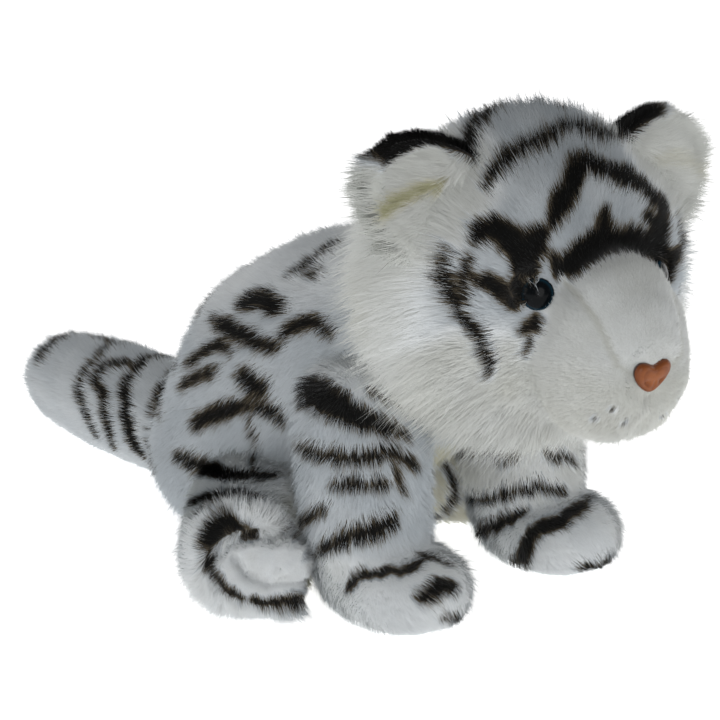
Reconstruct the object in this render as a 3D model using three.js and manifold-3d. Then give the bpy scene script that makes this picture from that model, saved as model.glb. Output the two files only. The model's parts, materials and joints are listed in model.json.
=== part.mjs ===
// A plush white tiger cub that sits: sewn fur-cloth covers over fibre stuffing, with a moulded nose and two
// moulded eyes whose shanks pass through the cloth and are held by washers inside. Millimetres, +Z up.
// The cub faces -Y, so its right side is -X, and the origin is on the flat of its seat.
import * as THREE from "three";
import { mergeVertices } from "three/addons/utils/BufferGeometryUtils.js";
import Module from "manifold-3d";

const wasm = await Module();
wasm.setup();

// Cloth and clearances
const CLOTH = 3; // fur cloth with the pile that stands on it
const GAP = 0.3; // between pieces that touch
const FILL_GAP = 0.6; // between a cover and the stuffing that fills it
const PRESSED = 0.5; // how deep a soft underside is pressed flat where it rests

// Torso: a pear that leans forward from the seat to the neck
const SEAT_WIDTH = 112;
const SEAT_DEPTH = 104;
const SEAT_BACK = 14; // of its middle behind the origin
const RUMP_WIDTH = 134;
const RUMP_DEPTH = 132;
const RUMP_HEIGHT = 60; // of its widest ring above the seat
const CHEST_WIDTH = 116;
const CHEST_DEPTH = 119;
const CHEST_HEIGHT = 112;
const CHEST_LEAN = 66; // in front of the origin
const NECK_WIDTH = 84;
const NECK_DEPTH = 80;
const NECK_HEIGHT = 138;
const NECK_LEAN = 130;
const SEAT_ROUND = 36; // depth of the rounded underside
const NECK_ROUND = 20;
const BELLY_PANEL_WIDTH = 66;
const BELLY_PANEL_HEIGHT = 72;
const BELLY_PANEL_PLACE = 140; // of its middle along the torso's line, from the seat

// Forelegs: straight props under the shoulders, with a paw in front
const SHOULDER_SINK = 12; // of the leg's line inside the chest's side
const SHOULDER_HEIGHT = 112;
const SHOULDER_FORWARD = 34; // in front of the chest's middle
const SHOULDER_WIDTH = 58;
const SHOULDER_TOP = 12; // of the leg's line above the joint
const KNEE_OUT = 9; // further out than the shoulder
const KNEE_HEIGHT = 62;
const KNEE_FORWARD = 47;
const KNEE_WIDTH = 57;
const WRIST_WIDTH = 48;
const WRIST_FORWARD = 55;
const FORELEG_ROUND = 26;
const PAW_WIDTH = 58;
const PAW_HEIGHT = 40;
const PAW_LENGTH = 66;
const PAW_FORWARD = 69; // of the paw's middle in front of the chest's middle
const PAW_ROUND = 24;

// Hind legs: short stubs that splay from the hips and end in flat soles
const HIP_SINK = 28; // of the leg's line inside the rump's side
const HIP_HEIGHT = 42;
const HIP_FORWARD = 26; // in front of the origin
const THIGH_WIDTH = 62;
const THIGH_SINK = 21; // of the leg's line behind the hip
const HIND_FOOT_WIDTH = 52;
const HIND_FOOT_HEIGHT = 56;
const HIND_SPLAY = 50; // degrees from straight ahead
const HIND_REACH = 82; // from the hip to the sole
const HIND_DROP = 12; // of the sole's middle below the hip
const HIND_LEG_ROUND = 22;
const SOLE_THICKNESS = 3;

// Tail
const TAIL_SINK = 22; // of its line's start inside the rump's back
const TAIL_LENGTH = 132;
const TAIL_ROOT_WIDTH = 54;
const TAIL_MIDDLE_WIDTH = 56;
const TAIL_TIP_WIDTH = 42;
const TAIL_HEIGHT = 38; // of its root
const TAIL_RISE = 6; // of its tip above its root
const TAIL_ROUND = 19;

// Head, which is turned a little to the cub's right
const HEAD_WIDTH = 136;
const HEAD_HEIGHT = 136;
const HEAD_DEPTH = 124;
const BACK_OF_HEAD_WIDTH = 122;
const FACE_WIDTH = 108;
const HEAD_ROUND = 46;
const HEAD_TURN = -15; // degrees about +Z
const HEAD_ABOVE_NECK = 32; // of the head's middle over the neck's end
const HEAD_BEFORE_NECK = 38;
const MUZZLE_ROOT_WIDTH = 46;
const MUZZLE_WIDTH = 64;
const MUZZLE_HEIGHT = 84;
const MUZZLE_DROP = 20; // of its middle below the head's middle
const MUZZLE_ROOT = 24; // of its root in front of the head's middle
const MUZZLE_REACH = 94; // of its tip in front of the head's middle
const MUZZLE_ROUND = 38;

// Ears: two cupped layers each
const EAR_WIDTH = 52;
const EAR_HEIGHT = 35; // above the head's skin
const EAR_LAYER = 3;
const EAR_CUP = 38; // radius of the cup across the ear
const EAR_CUP_TALL = 68; // and up it
const EAR_LEAN = 54; // degrees from straight up, to the side
const EAR_BACK = 4; // behind the head's middle
const EAR_FOLD = 5; // of the fold line in front of the ear's middle
const EAR_SEAT = 10; // how far the ear's foot reaches below the skin before it is trimmed to it

// Eyes and nose: moulded heads on shanks
const EYE_DIAMETER = 15;
const EYE_DOME = 5.5;
const EYE_RIM = 1.2;
const EYE_SPREAD = 32; // of each eye's middle to the side
const EYE_LIFT = 5; // above the head's middle
const SHANK_DIAMETER = 4.5;
const SHANK_LENGTH = 12.5;
const WASHER_DIAMETER = 13;
const WASHER_THICKNESS = 1.6;
const WASHER_DROP = 1.8; // what the cloth curves down to meet a washer's edge
const NOSE_WIDTH = 20;
const NOSE_HEIGHT = 15;
const NOSE_DEPTH = 5;
const NOSE_ROUND = 2;
const NOSE_DROP = 6; // below the muzzle's middle

// How far the sewn joints flex, in degrees
const HEAD_FLEX = [-20, 20];
const FORELEG_FLEX = [0, 20];
const HIND_LEG_FLEX = [0, 20];
const TAIL_FLEX = [-25, 25];
const EAR_FLEX = [-8, 12];

// Facets
const TORSO_SIDES = 18;
const HEAD_SIDES = 18;
const LIMB_SIDES = 12;
const END_RINGS = 3; // from a pole to where a form is straight
const MIDDLE_RINGS = 3;
const TURNED_SIDES = 12;
const EAR_SIDES = 20;
const EAR_CURVES = 4;
const DOME_STEPS = 3;
const NOSE_CURVES = 4;
const NOSE_ROUND_STEPS = 2;
const FLEX_STEPS = 6; // from one end of a joint's range to the other
const WELD = 1e-4; // corners nearer than this are one

const X_AXIS = new THREE.Vector3(1, 0, 0);
const Z_AXIS = new THREE.Vector3(0, 0, 1);
const FORWARD_SWING = new THREE.Vector3(-1, 0, 0); // a leg turns forward and up about this
const point = (x, y, z) => new THREE.Vector3(x, y, z);
const radians = THREE.MathUtils.degToRad;

// Solids that can be joined and cut

function solidOf(geometry) {
  const bare = geometry.clone();
  bare.deleteAttribute("normal");
  bare.deleteAttribute("uv");
  const merged = mergeVertices(bare, WELD);
  const corners = [];
  for (let i = 0; i < merged.index.count; i += 3) {
    const [a, b, c] = [0, 1, 2].map((k) => merged.index.getX(i + k));
    if (a !== b && b !== c && c !== a) corners.push(a, b, c);
  }
  return new wasm.Manifold(
    new wasm.Mesh({
      numProp: 3,
      vertProperties: new Float32Array(merged.getAttribute("position").array),
      triVerts: new Uint32Array(corners),
    }),
  );
}

function geometryOf(solid) {
  const mesh = solid.getMesh();
  const geometry = new THREE.BufferGeometry();
  geometry.setAttribute("position", new THREE.BufferAttribute(mesh.vertProperties, 3));
  geometry.setIndex(new THREE.BufferAttribute(mesh.triVerts, 1));
  geometry.computeVertexNormals();
  return geometry;
}

const joined = (solids) => solids.reduce((whole, solid) => whole.add(solid));
const moved = (solid, matrix) => solid.transform(matrix.toArray());
const mirrored = (solid) => moved(solid, new THREE.Matrix4().makeScale(-1, 1, 1));

// What a neighbour sweeps through, seen from a piece that flexes about an axis.
function swept(solid, { pivot, axis }, flex) {
  const copies = [];
  for (let i = 0; i <= FLEX_STEPS; i += 1) {
    const angle = -radians(THREE.MathUtils.lerp(flex[0], flex[1], i / FLEX_STEPS));
    const turn = new THREE.Matrix4().makeTranslation(pivot);
    turn.multiply(new THREE.Matrix4().makeRotationAxis(axis, angle));
    turn.multiply(new THREE.Matrix4().makeTranslation(pivot.clone().negate()));
    copies.push(moved(solid, turn));
  }
  return joined(copies);
}

// A stuffed form: elliptical rings along a smooth line, with a rounded end at each end. Its solid can be set
// out, or in below zero, by an even thickness.
function stuffedForm({ line, widths, depths, startRound, endRound, sides, side = X_AXIS }) {
  const curve = new THREE.CatmullRomCurve3(line);
  const halves = new THREE.SplineCurve(widths.map((w, i) => new THREE.Vector2(w / 2, depths[i] / 2)));
  const length = curve.getLength();

  function ring(along, swell, grow) {
    const share = curve.getUtoTmapping(THREE.MathUtils.clamp(along / length, 0, 1));
    const tangent = curve.getTangent(share);
    const beyond = along - THREE.MathUtils.clamp(along, 0, length);
    const centre = curve.getPoint(share).addScaledVector(tangent, beyond);
    const across = side.clone().addScaledVector(tangent, -side.dot(tangent)).normalize();
    const over = tangent.clone().cross(across);
    const half = halves.getPoint(share).addScalar(grow).multiplyScalar(swell);
    return (angle) =>
      centre
        .clone()
        .addScaledVector(across, half.x * Math.cos(angle))
        .addScaledVector(over, half.y * Math.sin(angle));
  }

  function solid(grow = 0) {
    const rings = [];
    for (let i = 1; i <= END_RINGS; i += 1) {
      const angle = (Math.PI / 2) * (i / END_RINGS);
      rings.push(ring(startRound - (startRound + grow) * Math.cos(angle), Math.sin(angle), grow));
    }
    for (let i = 1; i < MIDDLE_RINGS; i += 1) {
      rings.push(ring(THREE.MathUtils.lerp(startRound, length - endRound, i / MIDDLE_RINGS), 1, grow));
    }
    for (let i = END_RINGS; i >= 1; i -= 1) {
      const angle = (Math.PI / 2) * (i / END_RINGS);
      rings.push(ring(length - endRound + (endRound + grow) * Math.cos(angle), Math.sin(angle), grow));
    }
    const points = [ring(-grow, 0, grow)(0)];
    for (const at of rings) {
      for (let k = 0; k < sides; k += 1) points.push(at((2 * Math.PI * k) / sides));
    }
    points.push(ring(length + grow, 0, grow)(0));
    const corner = (i, k) => 1 + i * sides + (k % sides);
    const faces = [];
    const last = rings.length - 1;
    for (let k = 0; k < sides; k += 1) {
      faces.push(0, corner(0, k + 1), corner(0, k));
      // The diagonals mirror each other, so that a left and a right limb meet the same torso.
      const turn = k < sides / 4 || k >= (sides * 3) / 4 ? 0 : 1;
      for (let i = 0; i < last; i += 1) {
        const quad = [corner(i, k), corner(i, k + 1), corner(i + 1, k + 1), corner(i + 1, k)];
        const [a, b, c, d] = [0, 1, 2, 3].map((n) => quad[(n + turn) % 4]);
        faces.push(a, b, c, a, c, d);
      }
      faces.push(points.length - 1, corner(last, k), corner(last, k + 1));
    }
    const geometry = new THREE.BufferGeometry().setFromPoints(points);
    geometry.setIndex(faces);
    return solidOf(geometry);
  }

  return { line, curve, solid };
}

// Let a form down until what it rests on presses it flat.
function settled(shape) {
  const lowest = stuffedForm(shape).solid().boundingBox().min[2];
  const drop = point(0, 0, -PRESSED - lowest);
  return stuffedForm({ ...shape, line: shape.line.map((p) => p.clone().add(drop)) });
}

// Everything under the surface that the cub sits on
const REACH = 2 * (RUMP_DEPTH + TAIL_LENGTH + HEAD_DEPTH);
const floorBox = new THREE.BoxGeometry(REACH, REACH, REACH).translate(0, 0, -REACH / 2);
const floor = solidOf(floorBox);

// Torso
const neckEnd = point(0, -NECK_LEAN, NECK_HEIGHT);
const torsoForm = settled({
  line: [
    point(0, SEAT_BACK, 0),
    point(0, 0, RUMP_HEIGHT),
    point(0, -CHEST_LEAN, CHEST_HEIGHT),
    neckEnd,
  ],
  widths: [SEAT_WIDTH, RUMP_WIDTH, CHEST_WIDTH, NECK_WIDTH],
  depths: [SEAT_DEPTH, RUMP_DEPTH, CHEST_DEPTH, NECK_DEPTH],
  startRound: SEAT_ROUND,
  endRound: NECK_ROUND,
  sides: TORSO_SIDES,
});
// The neck stays open where the head is sewn on.
const neckTangent = torsoForm.curve.getTangent(1);
const neckAim = new THREE.Quaternion().setFromUnitVectors(Z_AXIS, neckTangent);
function neckCut(out) {
  const mouth = new THREE.CylinderGeometry(NECK_WIDTH, NECK_WIDTH, 2 * NECK_ROUND, TURNED_SIDES);
  const middle = torsoForm.curve.getPoint(1).addScaledVector(neckTangent, NECK_ROUND / 2 + out);
  mouth.rotateX(Math.PI / 2).applyQuaternion(neckAim);
  return solidOf(mouth.translate(middle.x, middle.y, middle.z));
}
const torsoBody = (grow) => torsoForm.solid(grow).subtract(neckCut(grow)).subtract(floor);
const torsoShell = torsoBody(0).subtract(torsoForm.solid(-CLOTH));

// The belly panel is let into the front of the torso, square to the torso's line.
const bellyShare = BELLY_PANEL_PLACE / torsoForm.curve.getLength();
const bellyMiddle = torsoForm.curve.getPointAt(bellyShare);
const bellyTangent = torsoForm.curve.getTangentAt(bellyShare);
const bellyOut = X_AXIS.clone().cross(bellyTangent);
const bellyTurn = new THREE.Matrix4().makeBasis(X_AXIS, bellyTangent, bellyOut);
function bellyCut(grow) {
  const outline = new THREE.Shape();
  outline.absellipse(0, 0, BELLY_PANEL_WIDTH / 2 + grow, BELLY_PANEL_HEIGHT / 2 + grow, 0, 2 * Math.PI);
  const prism = new THREE.ExtrudeGeometry(outline, {
    depth: RUMP_DEPTH,
    bevelEnabled: false,
    curveSegments: TURNED_SIDES,
  });
  return solidOf(prism.applyMatrix4(bellyTurn).translate(bellyMiddle.x, bellyMiddle.y, bellyMiddle.z));
}
const bellyPanel = torsoShell.intersect(bellyCut(0));
const torsoCover = torsoShell.subtract(bellyCut(GAP));
const torsoStuffing = torsoForm.solid(-CLOTH - FILL_GAP).subtract(neckCut(0));
const torsoClear = torsoBody(GAP);

// Forelegs, made on the cub's left
const shoulderX = CHEST_WIDTH / 2 - SHOULDER_SINK;
const kneeX = shoulderX + KNEE_OUT;
const shoulder = point(shoulderX, -CHEST_LEAN - SHOULDER_FORWARD, SHOULDER_HEIGHT);
const forelegForm = settled({
  line: [
    shoulder.clone().add(point(0, 0, SHOULDER_TOP)),
    point(kneeX, -CHEST_LEAN - KNEE_FORWARD, KNEE_HEIGHT),
    point(kneeX, -CHEST_LEAN - WRIST_FORWARD, 0),
  ],
  widths: [SHOULDER_WIDTH, KNEE_WIDTH, WRIST_WIDTH],
  depths: [SHOULDER_WIDTH, KNEE_WIDTH, WRIST_WIDTH],
  startRound: FORELEG_ROUND,
  endRound: FORELEG_ROUND,
  sides: LIMB_SIDES,
});
const pawForm = settled({
  line: [
    point(kneeX, -CHEST_LEAN - PAW_FORWARD + PAW_LENGTH / 2, PAW_HEIGHT / 2),
    point(kneeX, -CHEST_LEAN - PAW_FORWARD, PAW_HEIGHT / 2),
    point(kneeX, -CHEST_LEAN - PAW_FORWARD - PAW_LENGTH / 2, PAW_HEIGHT / 2),
  ],
  widths: [WRIST_WIDTH, PAW_WIDTH, PAW_WIDTH],
  depths: [PAW_HEIGHT, PAW_HEIGHT, PAW_HEIGHT],
  startRound: PAW_ROUND,
  endRound: PAW_ROUND,
  sides: LIMB_SIDES,
});
const forelegHinge = { pivot: shoulder, axis: FORWARD_SWING };
const forelegTrim = swept(torsoClear, forelegHinge, FORELEG_FLEX).add(floor);
const foreleg = (grow) => forelegForm.solid(grow).add(pawForm.solid(grow));
const forelegCover = foreleg(0).subtract(foreleg(-CLOTH)).subtract(forelegTrim);
const forelegStuffing = foreleg(-CLOTH - FILL_GAP).subtract(forelegTrim);

// Hind legs, made on the cub's left
const hip = point(RUMP_WIDTH / 2 - HIP_SINK, -HIP_FORWARD, HIP_HEIGHT);
const splay = point(Math.sin(radians(HIND_SPLAY)), -Math.cos(radians(HIND_SPLAY)), 0);
const soleMiddle = hip.clone().addScaledVector(splay, HIND_REACH).add(point(0, 0, -HIND_DROP));
const acrossHindLeg = Z_AXIS.clone().cross(splay);
const hindLegForm = settled({
  line: [
    hip.clone().addScaledVector(splay, -THIGH_SINK),
    hip.clone().lerp(soleMiddle, 1 / 2),
    soleMiddle.clone().addScaledVector(splay, HIND_LEG_ROUND / 2),
  ],
  widths: [THIGH_WIDTH, THIGH_WIDTH, HIND_FOOT_WIDTH],
  depths: [THIGH_WIDTH, THIGH_WIDTH, HIND_FOOT_HEIGHT],
  startRound: HIND_LEG_ROUND,
  endRound: HIND_LEG_ROUND,
  sides: LIMB_SIDES,
  side: acrossHindLeg,
});
const hindHinge = { pivot: hip, axis: FORWARD_SWING };
const hindTrim = swept(torsoClear, hindHinge, HIND_LEG_FLEX).add(floor);
// Each sole is an oval that closes the end of its leg.
const soleAim = new THREE.Quaternion().setFromUnitVectors(Z_AXIS, splay);
const beyondSole = (setBack) =>
  solidOf(
    new THREE.BoxGeometry(REACH, REACH, REACH)
      .translate(0, 0, REACH / 2 - setBack)
      .applyQuaternion(soleAim)
      .translate(soleMiddle.x, soleMiddle.y, soleMiddle.z),
  );
const hindLegEnds = hindTrim.add(beyondSole(SOLE_THICKNESS + GAP));
const hindLegCover = hindLegForm.solid().subtract(hindLegForm.solid(-CLOTH)).subtract(hindLegEnds);
const hindLegStuffing = hindLegForm.solid(-CLOTH - FILL_GAP).subtract(hindLegEnds);
const soleBlank = hindLegForm.solid().intersect(beyondSole(SOLE_THICKNESS));
const solePad = soleBlank.subtract(beyondSole(0)).subtract(floor);

// Tail
const tailRoot = point(0, RUMP_DEPTH / 2, TAIL_HEIGHT);
const tailTip = tailRoot.clone().add(point(0, TAIL_LENGTH, TAIL_RISE));
const tailForm = stuffedForm({
  line: [
    tailRoot.clone().add(point(0, -TAIL_SINK, 0)),
    tailRoot.clone().lerp(tailTip, 1 / 2),
    tailTip,
  ],
  widths: [TAIL_ROOT_WIDTH, TAIL_MIDDLE_WIDTH, TAIL_TIP_WIDTH],
  depths: [TAIL_ROOT_WIDTH, TAIL_MIDDLE_WIDTH, TAIL_TIP_WIDTH],
  startRound: TAIL_ROUND,
  endRound: TAIL_ROUND,
  sides: LIMB_SIDES,
});
const tailHinge = { pivot: tailRoot.clone().add(point(0, -TAIL_SINK, 0)), axis: Z_AXIS };
const tailTrim = swept(torsoClear, tailHinge, TAIL_FLEX);
const tailCover = tailForm.solid().subtract(tailForm.solid(-CLOTH)).subtract(tailTrim);
const tailStuffing = tailForm.solid(-CLOTH - FILL_GAP).subtract(tailTrim);

// Head, made facing straight ahead about its own middle
const headMiddle = neckEnd.clone().add(point(0, -HEAD_BEFORE_NECK, HEAD_ABOVE_NECK));
const headPlace = new THREE.Matrix4().makeTranslation(headMiddle);
headPlace.multiply(new THREE.Matrix4().makeRotationZ(radians(HEAD_TURN)));
const onHead = (solid) => moved(solid, headPlace);
const headForm = stuffedForm({
  line: [point(0, HEAD_DEPTH / 2, 0), point(0, 0, 0), point(0, -HEAD_DEPTH / 2, 0)],
  widths: [BACK_OF_HEAD_WIDTH, HEAD_WIDTH, FACE_WIDTH],
  depths: [BACK_OF_HEAD_WIDTH, HEAD_HEIGHT, FACE_WIDTH],
  startRound: HEAD_ROUND,
  endRound: HEAD_ROUND,
  sides: HEAD_SIDES,
});
const muzzleForm = stuffedForm({
  line: [
    point(0, -MUZZLE_ROOT, -MUZZLE_DROP),
    point(0, -(MUZZLE_ROOT + MUZZLE_REACH) / 2, -MUZZLE_DROP),
    point(0, -MUZZLE_REACH, -MUZZLE_DROP),
  ],
  widths: [MUZZLE_ROOT_WIDTH, MUZZLE_WIDTH, MUZZLE_WIDTH],
  depths: [MUZZLE_ROOT_WIDTH, MUZZLE_HEIGHT, MUZZLE_HEIGHT],
  startRound: MUZZLE_ROUND / 2,
  endRound: MUZZLE_ROUND,
  sides: LIMB_SIDES,
});
const neckHinge = { pivot: neckEnd, axis: Z_AXIS };
const neckTrim = moved(swept(torsoClear, neckHinge, HEAD_FLEX), headPlace.clone().invert());

// Where a straight line back along +Y meets a form
function seatOn(form, x, z) {
  const skin = new THREE.Mesh(geometryOf(form.solid()));
  const hit = new THREE.Raycaster(point(x, -REACH, z), point(0, 1, 0)).intersectObject(skin)[0];
  const turn = new THREE.Quaternion().setFromUnitVectors(Z_AXIS, hit.face.normal);
  return new THREE.Matrix4().compose(hit.point, turn, point(1, 1, 1));
}

// A turned piece about +Z, from the radii and heights of its profile
function turned(profile) {
  const lathe = new THREE.LatheGeometry(profile.map(([r, z]) => new THREE.Vector2(r, z)), TURNED_SIDES);
  return solidOf(lathe.rotateX(Math.PI / 2));
}

// Eyes: a dome on a shank, and the washer that grips the shank inside the cloth
const shankRadius = SHANK_DIAMETER / 2;
const eyeRadius = EYE_DIAMETER / 2;
const domeProfile = [];
for (let i = 0; i < DOME_STEPS; i += 1) {
  const angle = (Math.PI / 2) * (i / DOME_STEPS);
  domeProfile.push([eyeRadius * Math.cos(angle), GAP + EYE_RIM + (EYE_DOME - EYE_RIM) * Math.sin(angle)]);
}
const eyeShape = turned([
  [0, -SHANK_LENGTH],
  [shankRadius, -SHANK_LENGTH],
  [shankRadius, GAP],
  [eyeRadius, GAP],
  ...domeProfile,
  [0, GAP + EYE_DOME],
]);
const washerTop = -CLOTH - GAP - WASHER_DROP;
const washerShape = turned([
  [shankRadius + GAP, washerTop - WASHER_THICKNESS],
  [WASHER_DIAMETER / 2, washerTop - WASHER_THICKNESS],
  [WASHER_DIAMETER / 2, washerTop],
  [shankRadius + GAP, washerTop],
  [shankRadius + GAP, washerTop - WASHER_THICKNESS],
]);
// The way that a shank and its washer need through cloth and stuffing
const shankWay = turned([
  [0, -SHANK_LENGTH - GAP],
  [shankRadius + GAP, -SHANK_LENGTH - GAP],
  [shankRadius + GAP, CLOTH],
  [0, CLOTH],
]);
const washerWay = turned([
  [0, washerTop - WASHER_THICKNESS - GAP],
  [WASHER_DIAMETER / 2 + GAP, washerTop - WASHER_THICKNESS - GAP],
  [WASHER_DIAMETER / 2 + GAP, 0],
  [0, 0],
]);
const eyeSeat = seatOn(headForm, EYE_SPREAD, EYE_LIFT);
const eyeLeft = moved(eyeShape, eyeSeat);
const eyeWasherLeft = moved(washerShape, eyeSeat);

// Nose: a rounded triangle on the tip of the muzzle
const noseOutline = new THREE.Shape();
noseOutline.moveTo(0, -NOSE_HEIGHT / 2);
noseOutline.quadraticCurveTo(NOSE_WIDTH / 2, -NOSE_HEIGHT / 8, NOSE_WIDTH / 2, NOSE_HEIGHT / 4);
noseOutline.quadraticCurveTo(NOSE_WIDTH / 2, NOSE_HEIGHT / 2, 0, NOSE_HEIGHT / 2);
noseOutline.quadraticCurveTo(-NOSE_WIDTH / 2, NOSE_HEIGHT / 2, -NOSE_WIDTH / 2, NOSE_HEIGHT / 4);
noseOutline.quadraticCurveTo(-NOSE_WIDTH / 2, -NOSE_HEIGHT / 8, 0, -NOSE_HEIGHT / 2);
const noseHead = new THREE.ExtrudeGeometry(noseOutline, {
  depth: NOSE_DEPTH - 2 * NOSE_ROUND,
  bevelThickness: NOSE_ROUND,
  bevelSize: NOSE_ROUND,
  bevelOffset: -NOSE_ROUND,
  bevelSegments: NOSE_ROUND_STEPS,
  curveSegments: NOSE_CURVES,
}).translate(0, 0, NOSE_ROUND + GAP);
const noseShankLength = SHANK_LENGTH + NOSE_DEPTH / 2;
const noseShank = new THREE.CylinderGeometry(shankRadius, shankRadius, noseShankLength, TURNED_SIDES);
noseShank.rotateX(Math.PI / 2).translate(0, 0, (NOSE_DEPTH / 2 - SHANK_LENGTH) / 2);
const noseSeat = seatOn(muzzleForm, 0, -MUZZLE_DROP - NOSE_DROP);
const nose = moved(solidOf(noseHead).add(solidOf(noseShank)), noseSeat);
const noseWasher = moved(washerShape, noseSeat);

// Head and muzzle covers: the muzzle is sewn round an opening in the face.
const shankWays = [
  moved(shankWay, eyeSeat),
  mirrored(moved(shankWay, eyeSeat)),
  moved(shankWay, noseSeat),
];
const washerWays = [
  moved(washerWay, eyeSeat),
  mirrored(moved(washerWay, eyeSeat)),
  moved(washerWay, noseSeat),
];
const shanksCut = joined(shankWays);
const headShell = headForm.solid().subtract(headForm.solid(-CLOTH));
const headCover = headShell.subtract(muzzleForm.solid(-CLOTH)).subtract(neckTrim).subtract(shanksCut);
const muzzleShell = muzzleForm.solid().subtract(muzzleForm.solid(-CLOTH));
const muzzleCover = muzzleShell.subtract(headForm.solid(GAP)).subtract(shanksCut);
const headStuffing = headForm
  .solid(-CLOTH - FILL_GAP)
  .add(muzzleForm.solid(-CLOTH - FILL_GAP))
  .subtract(neckTrim)
  .subtract(shanksCut)
  .subtract(joined(washerWays));

// Ears, made on the cub's left: two cupped layers, hollow to the front
const earUp = point(Math.sin(radians(EAR_LEAN)), 0, Math.cos(radians(EAR_LEAN)));
const earTurn = new THREE.Quaternion().setFromAxisAngle(point(0, 1, 0), radians(EAR_LEAN));
const skinUnderEar = new THREE.Raycaster(
  earUp.clone().multiplyScalar(REACH).add(point(0, EAR_BACK, 0)),
  earUp.clone().negate(),
).intersectObject(new THREE.Mesh(geometryOf(headForm.solid())))[0].point;
const earPlace = new THREE.Matrix4().compose(skinUnderEar, earTurn, point(1, 1, 1));
const earHinge = {
  pivot: skinUnderEar.clone().add(point(0, -EAR_FOLD, 0)),
  axis: X_AXIS.clone().applyQuaternion(earTurn),
};
const earTrim = swept(headForm.solid(GAP), earHinge, EAR_FLEX);
const earOutline = new THREE.Shape();
earOutline.moveTo(-EAR_WIDTH / 2, -EAR_SEAT);
earOutline.lineTo(EAR_WIDTH / 2, -EAR_SEAT);
earOutline.bezierCurveTo(
  EAR_WIDTH / 2, EAR_HEIGHT / 2, EAR_WIDTH / 3, EAR_HEIGHT, 0, EAR_HEIGHT,
);
earOutline.bezierCurveTo(
  -EAR_WIDTH / 3, EAR_HEIGHT, -EAR_WIDTH / 2, EAR_HEIGHT / 2, -EAR_WIDTH / 2, -EAR_SEAT,
);
const earPrism = new THREE.ExtrudeGeometry(earOutline, {
  depth: 2 * EAR_CUP,
  bevelEnabled: false,
  curveSegments: EAR_CURVES,
});
const earBlank = solidOf(earPrism.rotateX(Math.PI / 2).translate(0, EAR_CUP, 0));
const beforeCup = new THREE.BoxGeometry(REACH, REACH, REACH).translate(0, -REACH / 2 - EAR_CUP, 0);
const frontOfCup = solidOf(beforeCup);
// A layer of the cup between two radii, hollow to the front
function earLayer(inner, outer) {
  const egg = (radius) =>
    new THREE.SphereGeometry(radius, EAR_SIDES, EAR_SIDES / 2)
      .scale(1, 1, EAR_CUP_TALL / EAR_CUP)
      .translate(0, -EAR_CUP, EAR_HEIGHT / 2);
  const cup = solidOf(egg(outer)).subtract(solidOf(egg(inner))).intersect(earBlank).subtract(frontOfCup);
  return moved(cup, earPlace).subtract(earTrim);
}
const earFront = earLayer(EAR_CUP - EAR_LAYER, EAR_CUP);
const earBack = earLayer(EAR_CUP + GAP, EAR_CUP + GAP + EAR_LAYER);

const group = new THREE.Group();
group.name = "plush_white_tiger";

// Looks: what each kind of piece is made of
const WHITE_PILE = { color: 0xadb0ae, roughness: 0.95, metalness: 0 };
const CREAM_PILE = { color: 0xa3a08b, roughness: 0.95, metalness: 0 };
const SHORT_PILE = { color: 0xbabdba, roughness: 0.9, metalness: 0 };
const EAR_PILE = { color: 0xa6ab98, roughness: 0.95, metalness: 0 };
const BLACK_PILE = { color: 0x141615, roughness: 0.9, metalness: 0 };
const FIBRE = { color: 0xe9e8e2, roughness: 1, metalness: 0 };
const EYE_PLASTIC = { color: 0x0b0c0d, roughness: 0.08, metalness: 0 };
const NOSE_PLASTIC = { color: 0x6f4227, roughness: 0.25, metalness: 0 };
const WASHER_PLASTIC = { color: 0xd8d8d2, roughness: 0.5, metalness: 0 };

function addNode(name, solid, look) {
  const mesh = new THREE.Mesh(geometryOf(solid), new THREE.MeshStandardMaterial(look));
  mesh.name = name;
  group.add(mesh);
}

addNode("torso_cover", torsoCover, WHITE_PILE);
addNode("belly_panel", bellyPanel, CREAM_PILE);
addNode("torso_stuffing", torsoStuffing, FIBRE);
addNode("head_cover", onHead(headCover), WHITE_PILE);
addNode("muzzle_cover", onHead(muzzleCover), SHORT_PILE);
addNode("head_stuffing", onHead(headStuffing), FIBRE);
addNode("nose", onHead(nose), NOSE_PLASTIC);
addNode("nose_washer", onHead(noseWasher), WASHER_PLASTIC);
for (const [side, hand] of [["left", (solid) => solid], ["right", mirrored]]) {
  addNode(`eye_${side}`, onHead(hand(eyeLeft)), EYE_PLASTIC);
  addNode(`eye_washer_${side}`, onHead(hand(eyeWasherLeft)), WASHER_PLASTIC);
  addNode(`ear_front_${side}`, onHead(hand(earFront)), EAR_PILE);
  addNode(`ear_back_${side}`, onHead(hand(earBack)), BLACK_PILE);
  addNode(`foreleg_cover_${side}`, hand(forelegCover), WHITE_PILE);
  addNode(`foreleg_stuffing_${side}`, hand(forelegStuffing), FIBRE);
  addNode(`hind_leg_cover_${side}`, hand(hindLegCover), WHITE_PILE);
  addNode(`hind_leg_stuffing_${side}`, hand(hindLegStuffing), FIBRE);
  addNode(`sole_pad_${side}`, hand(solePad), SHORT_PILE);
}
addNode("tail_cover", tailCover, WHITE_PILE);
addNode("tail_stuffing", tailStuffing, FIBRE);

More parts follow.
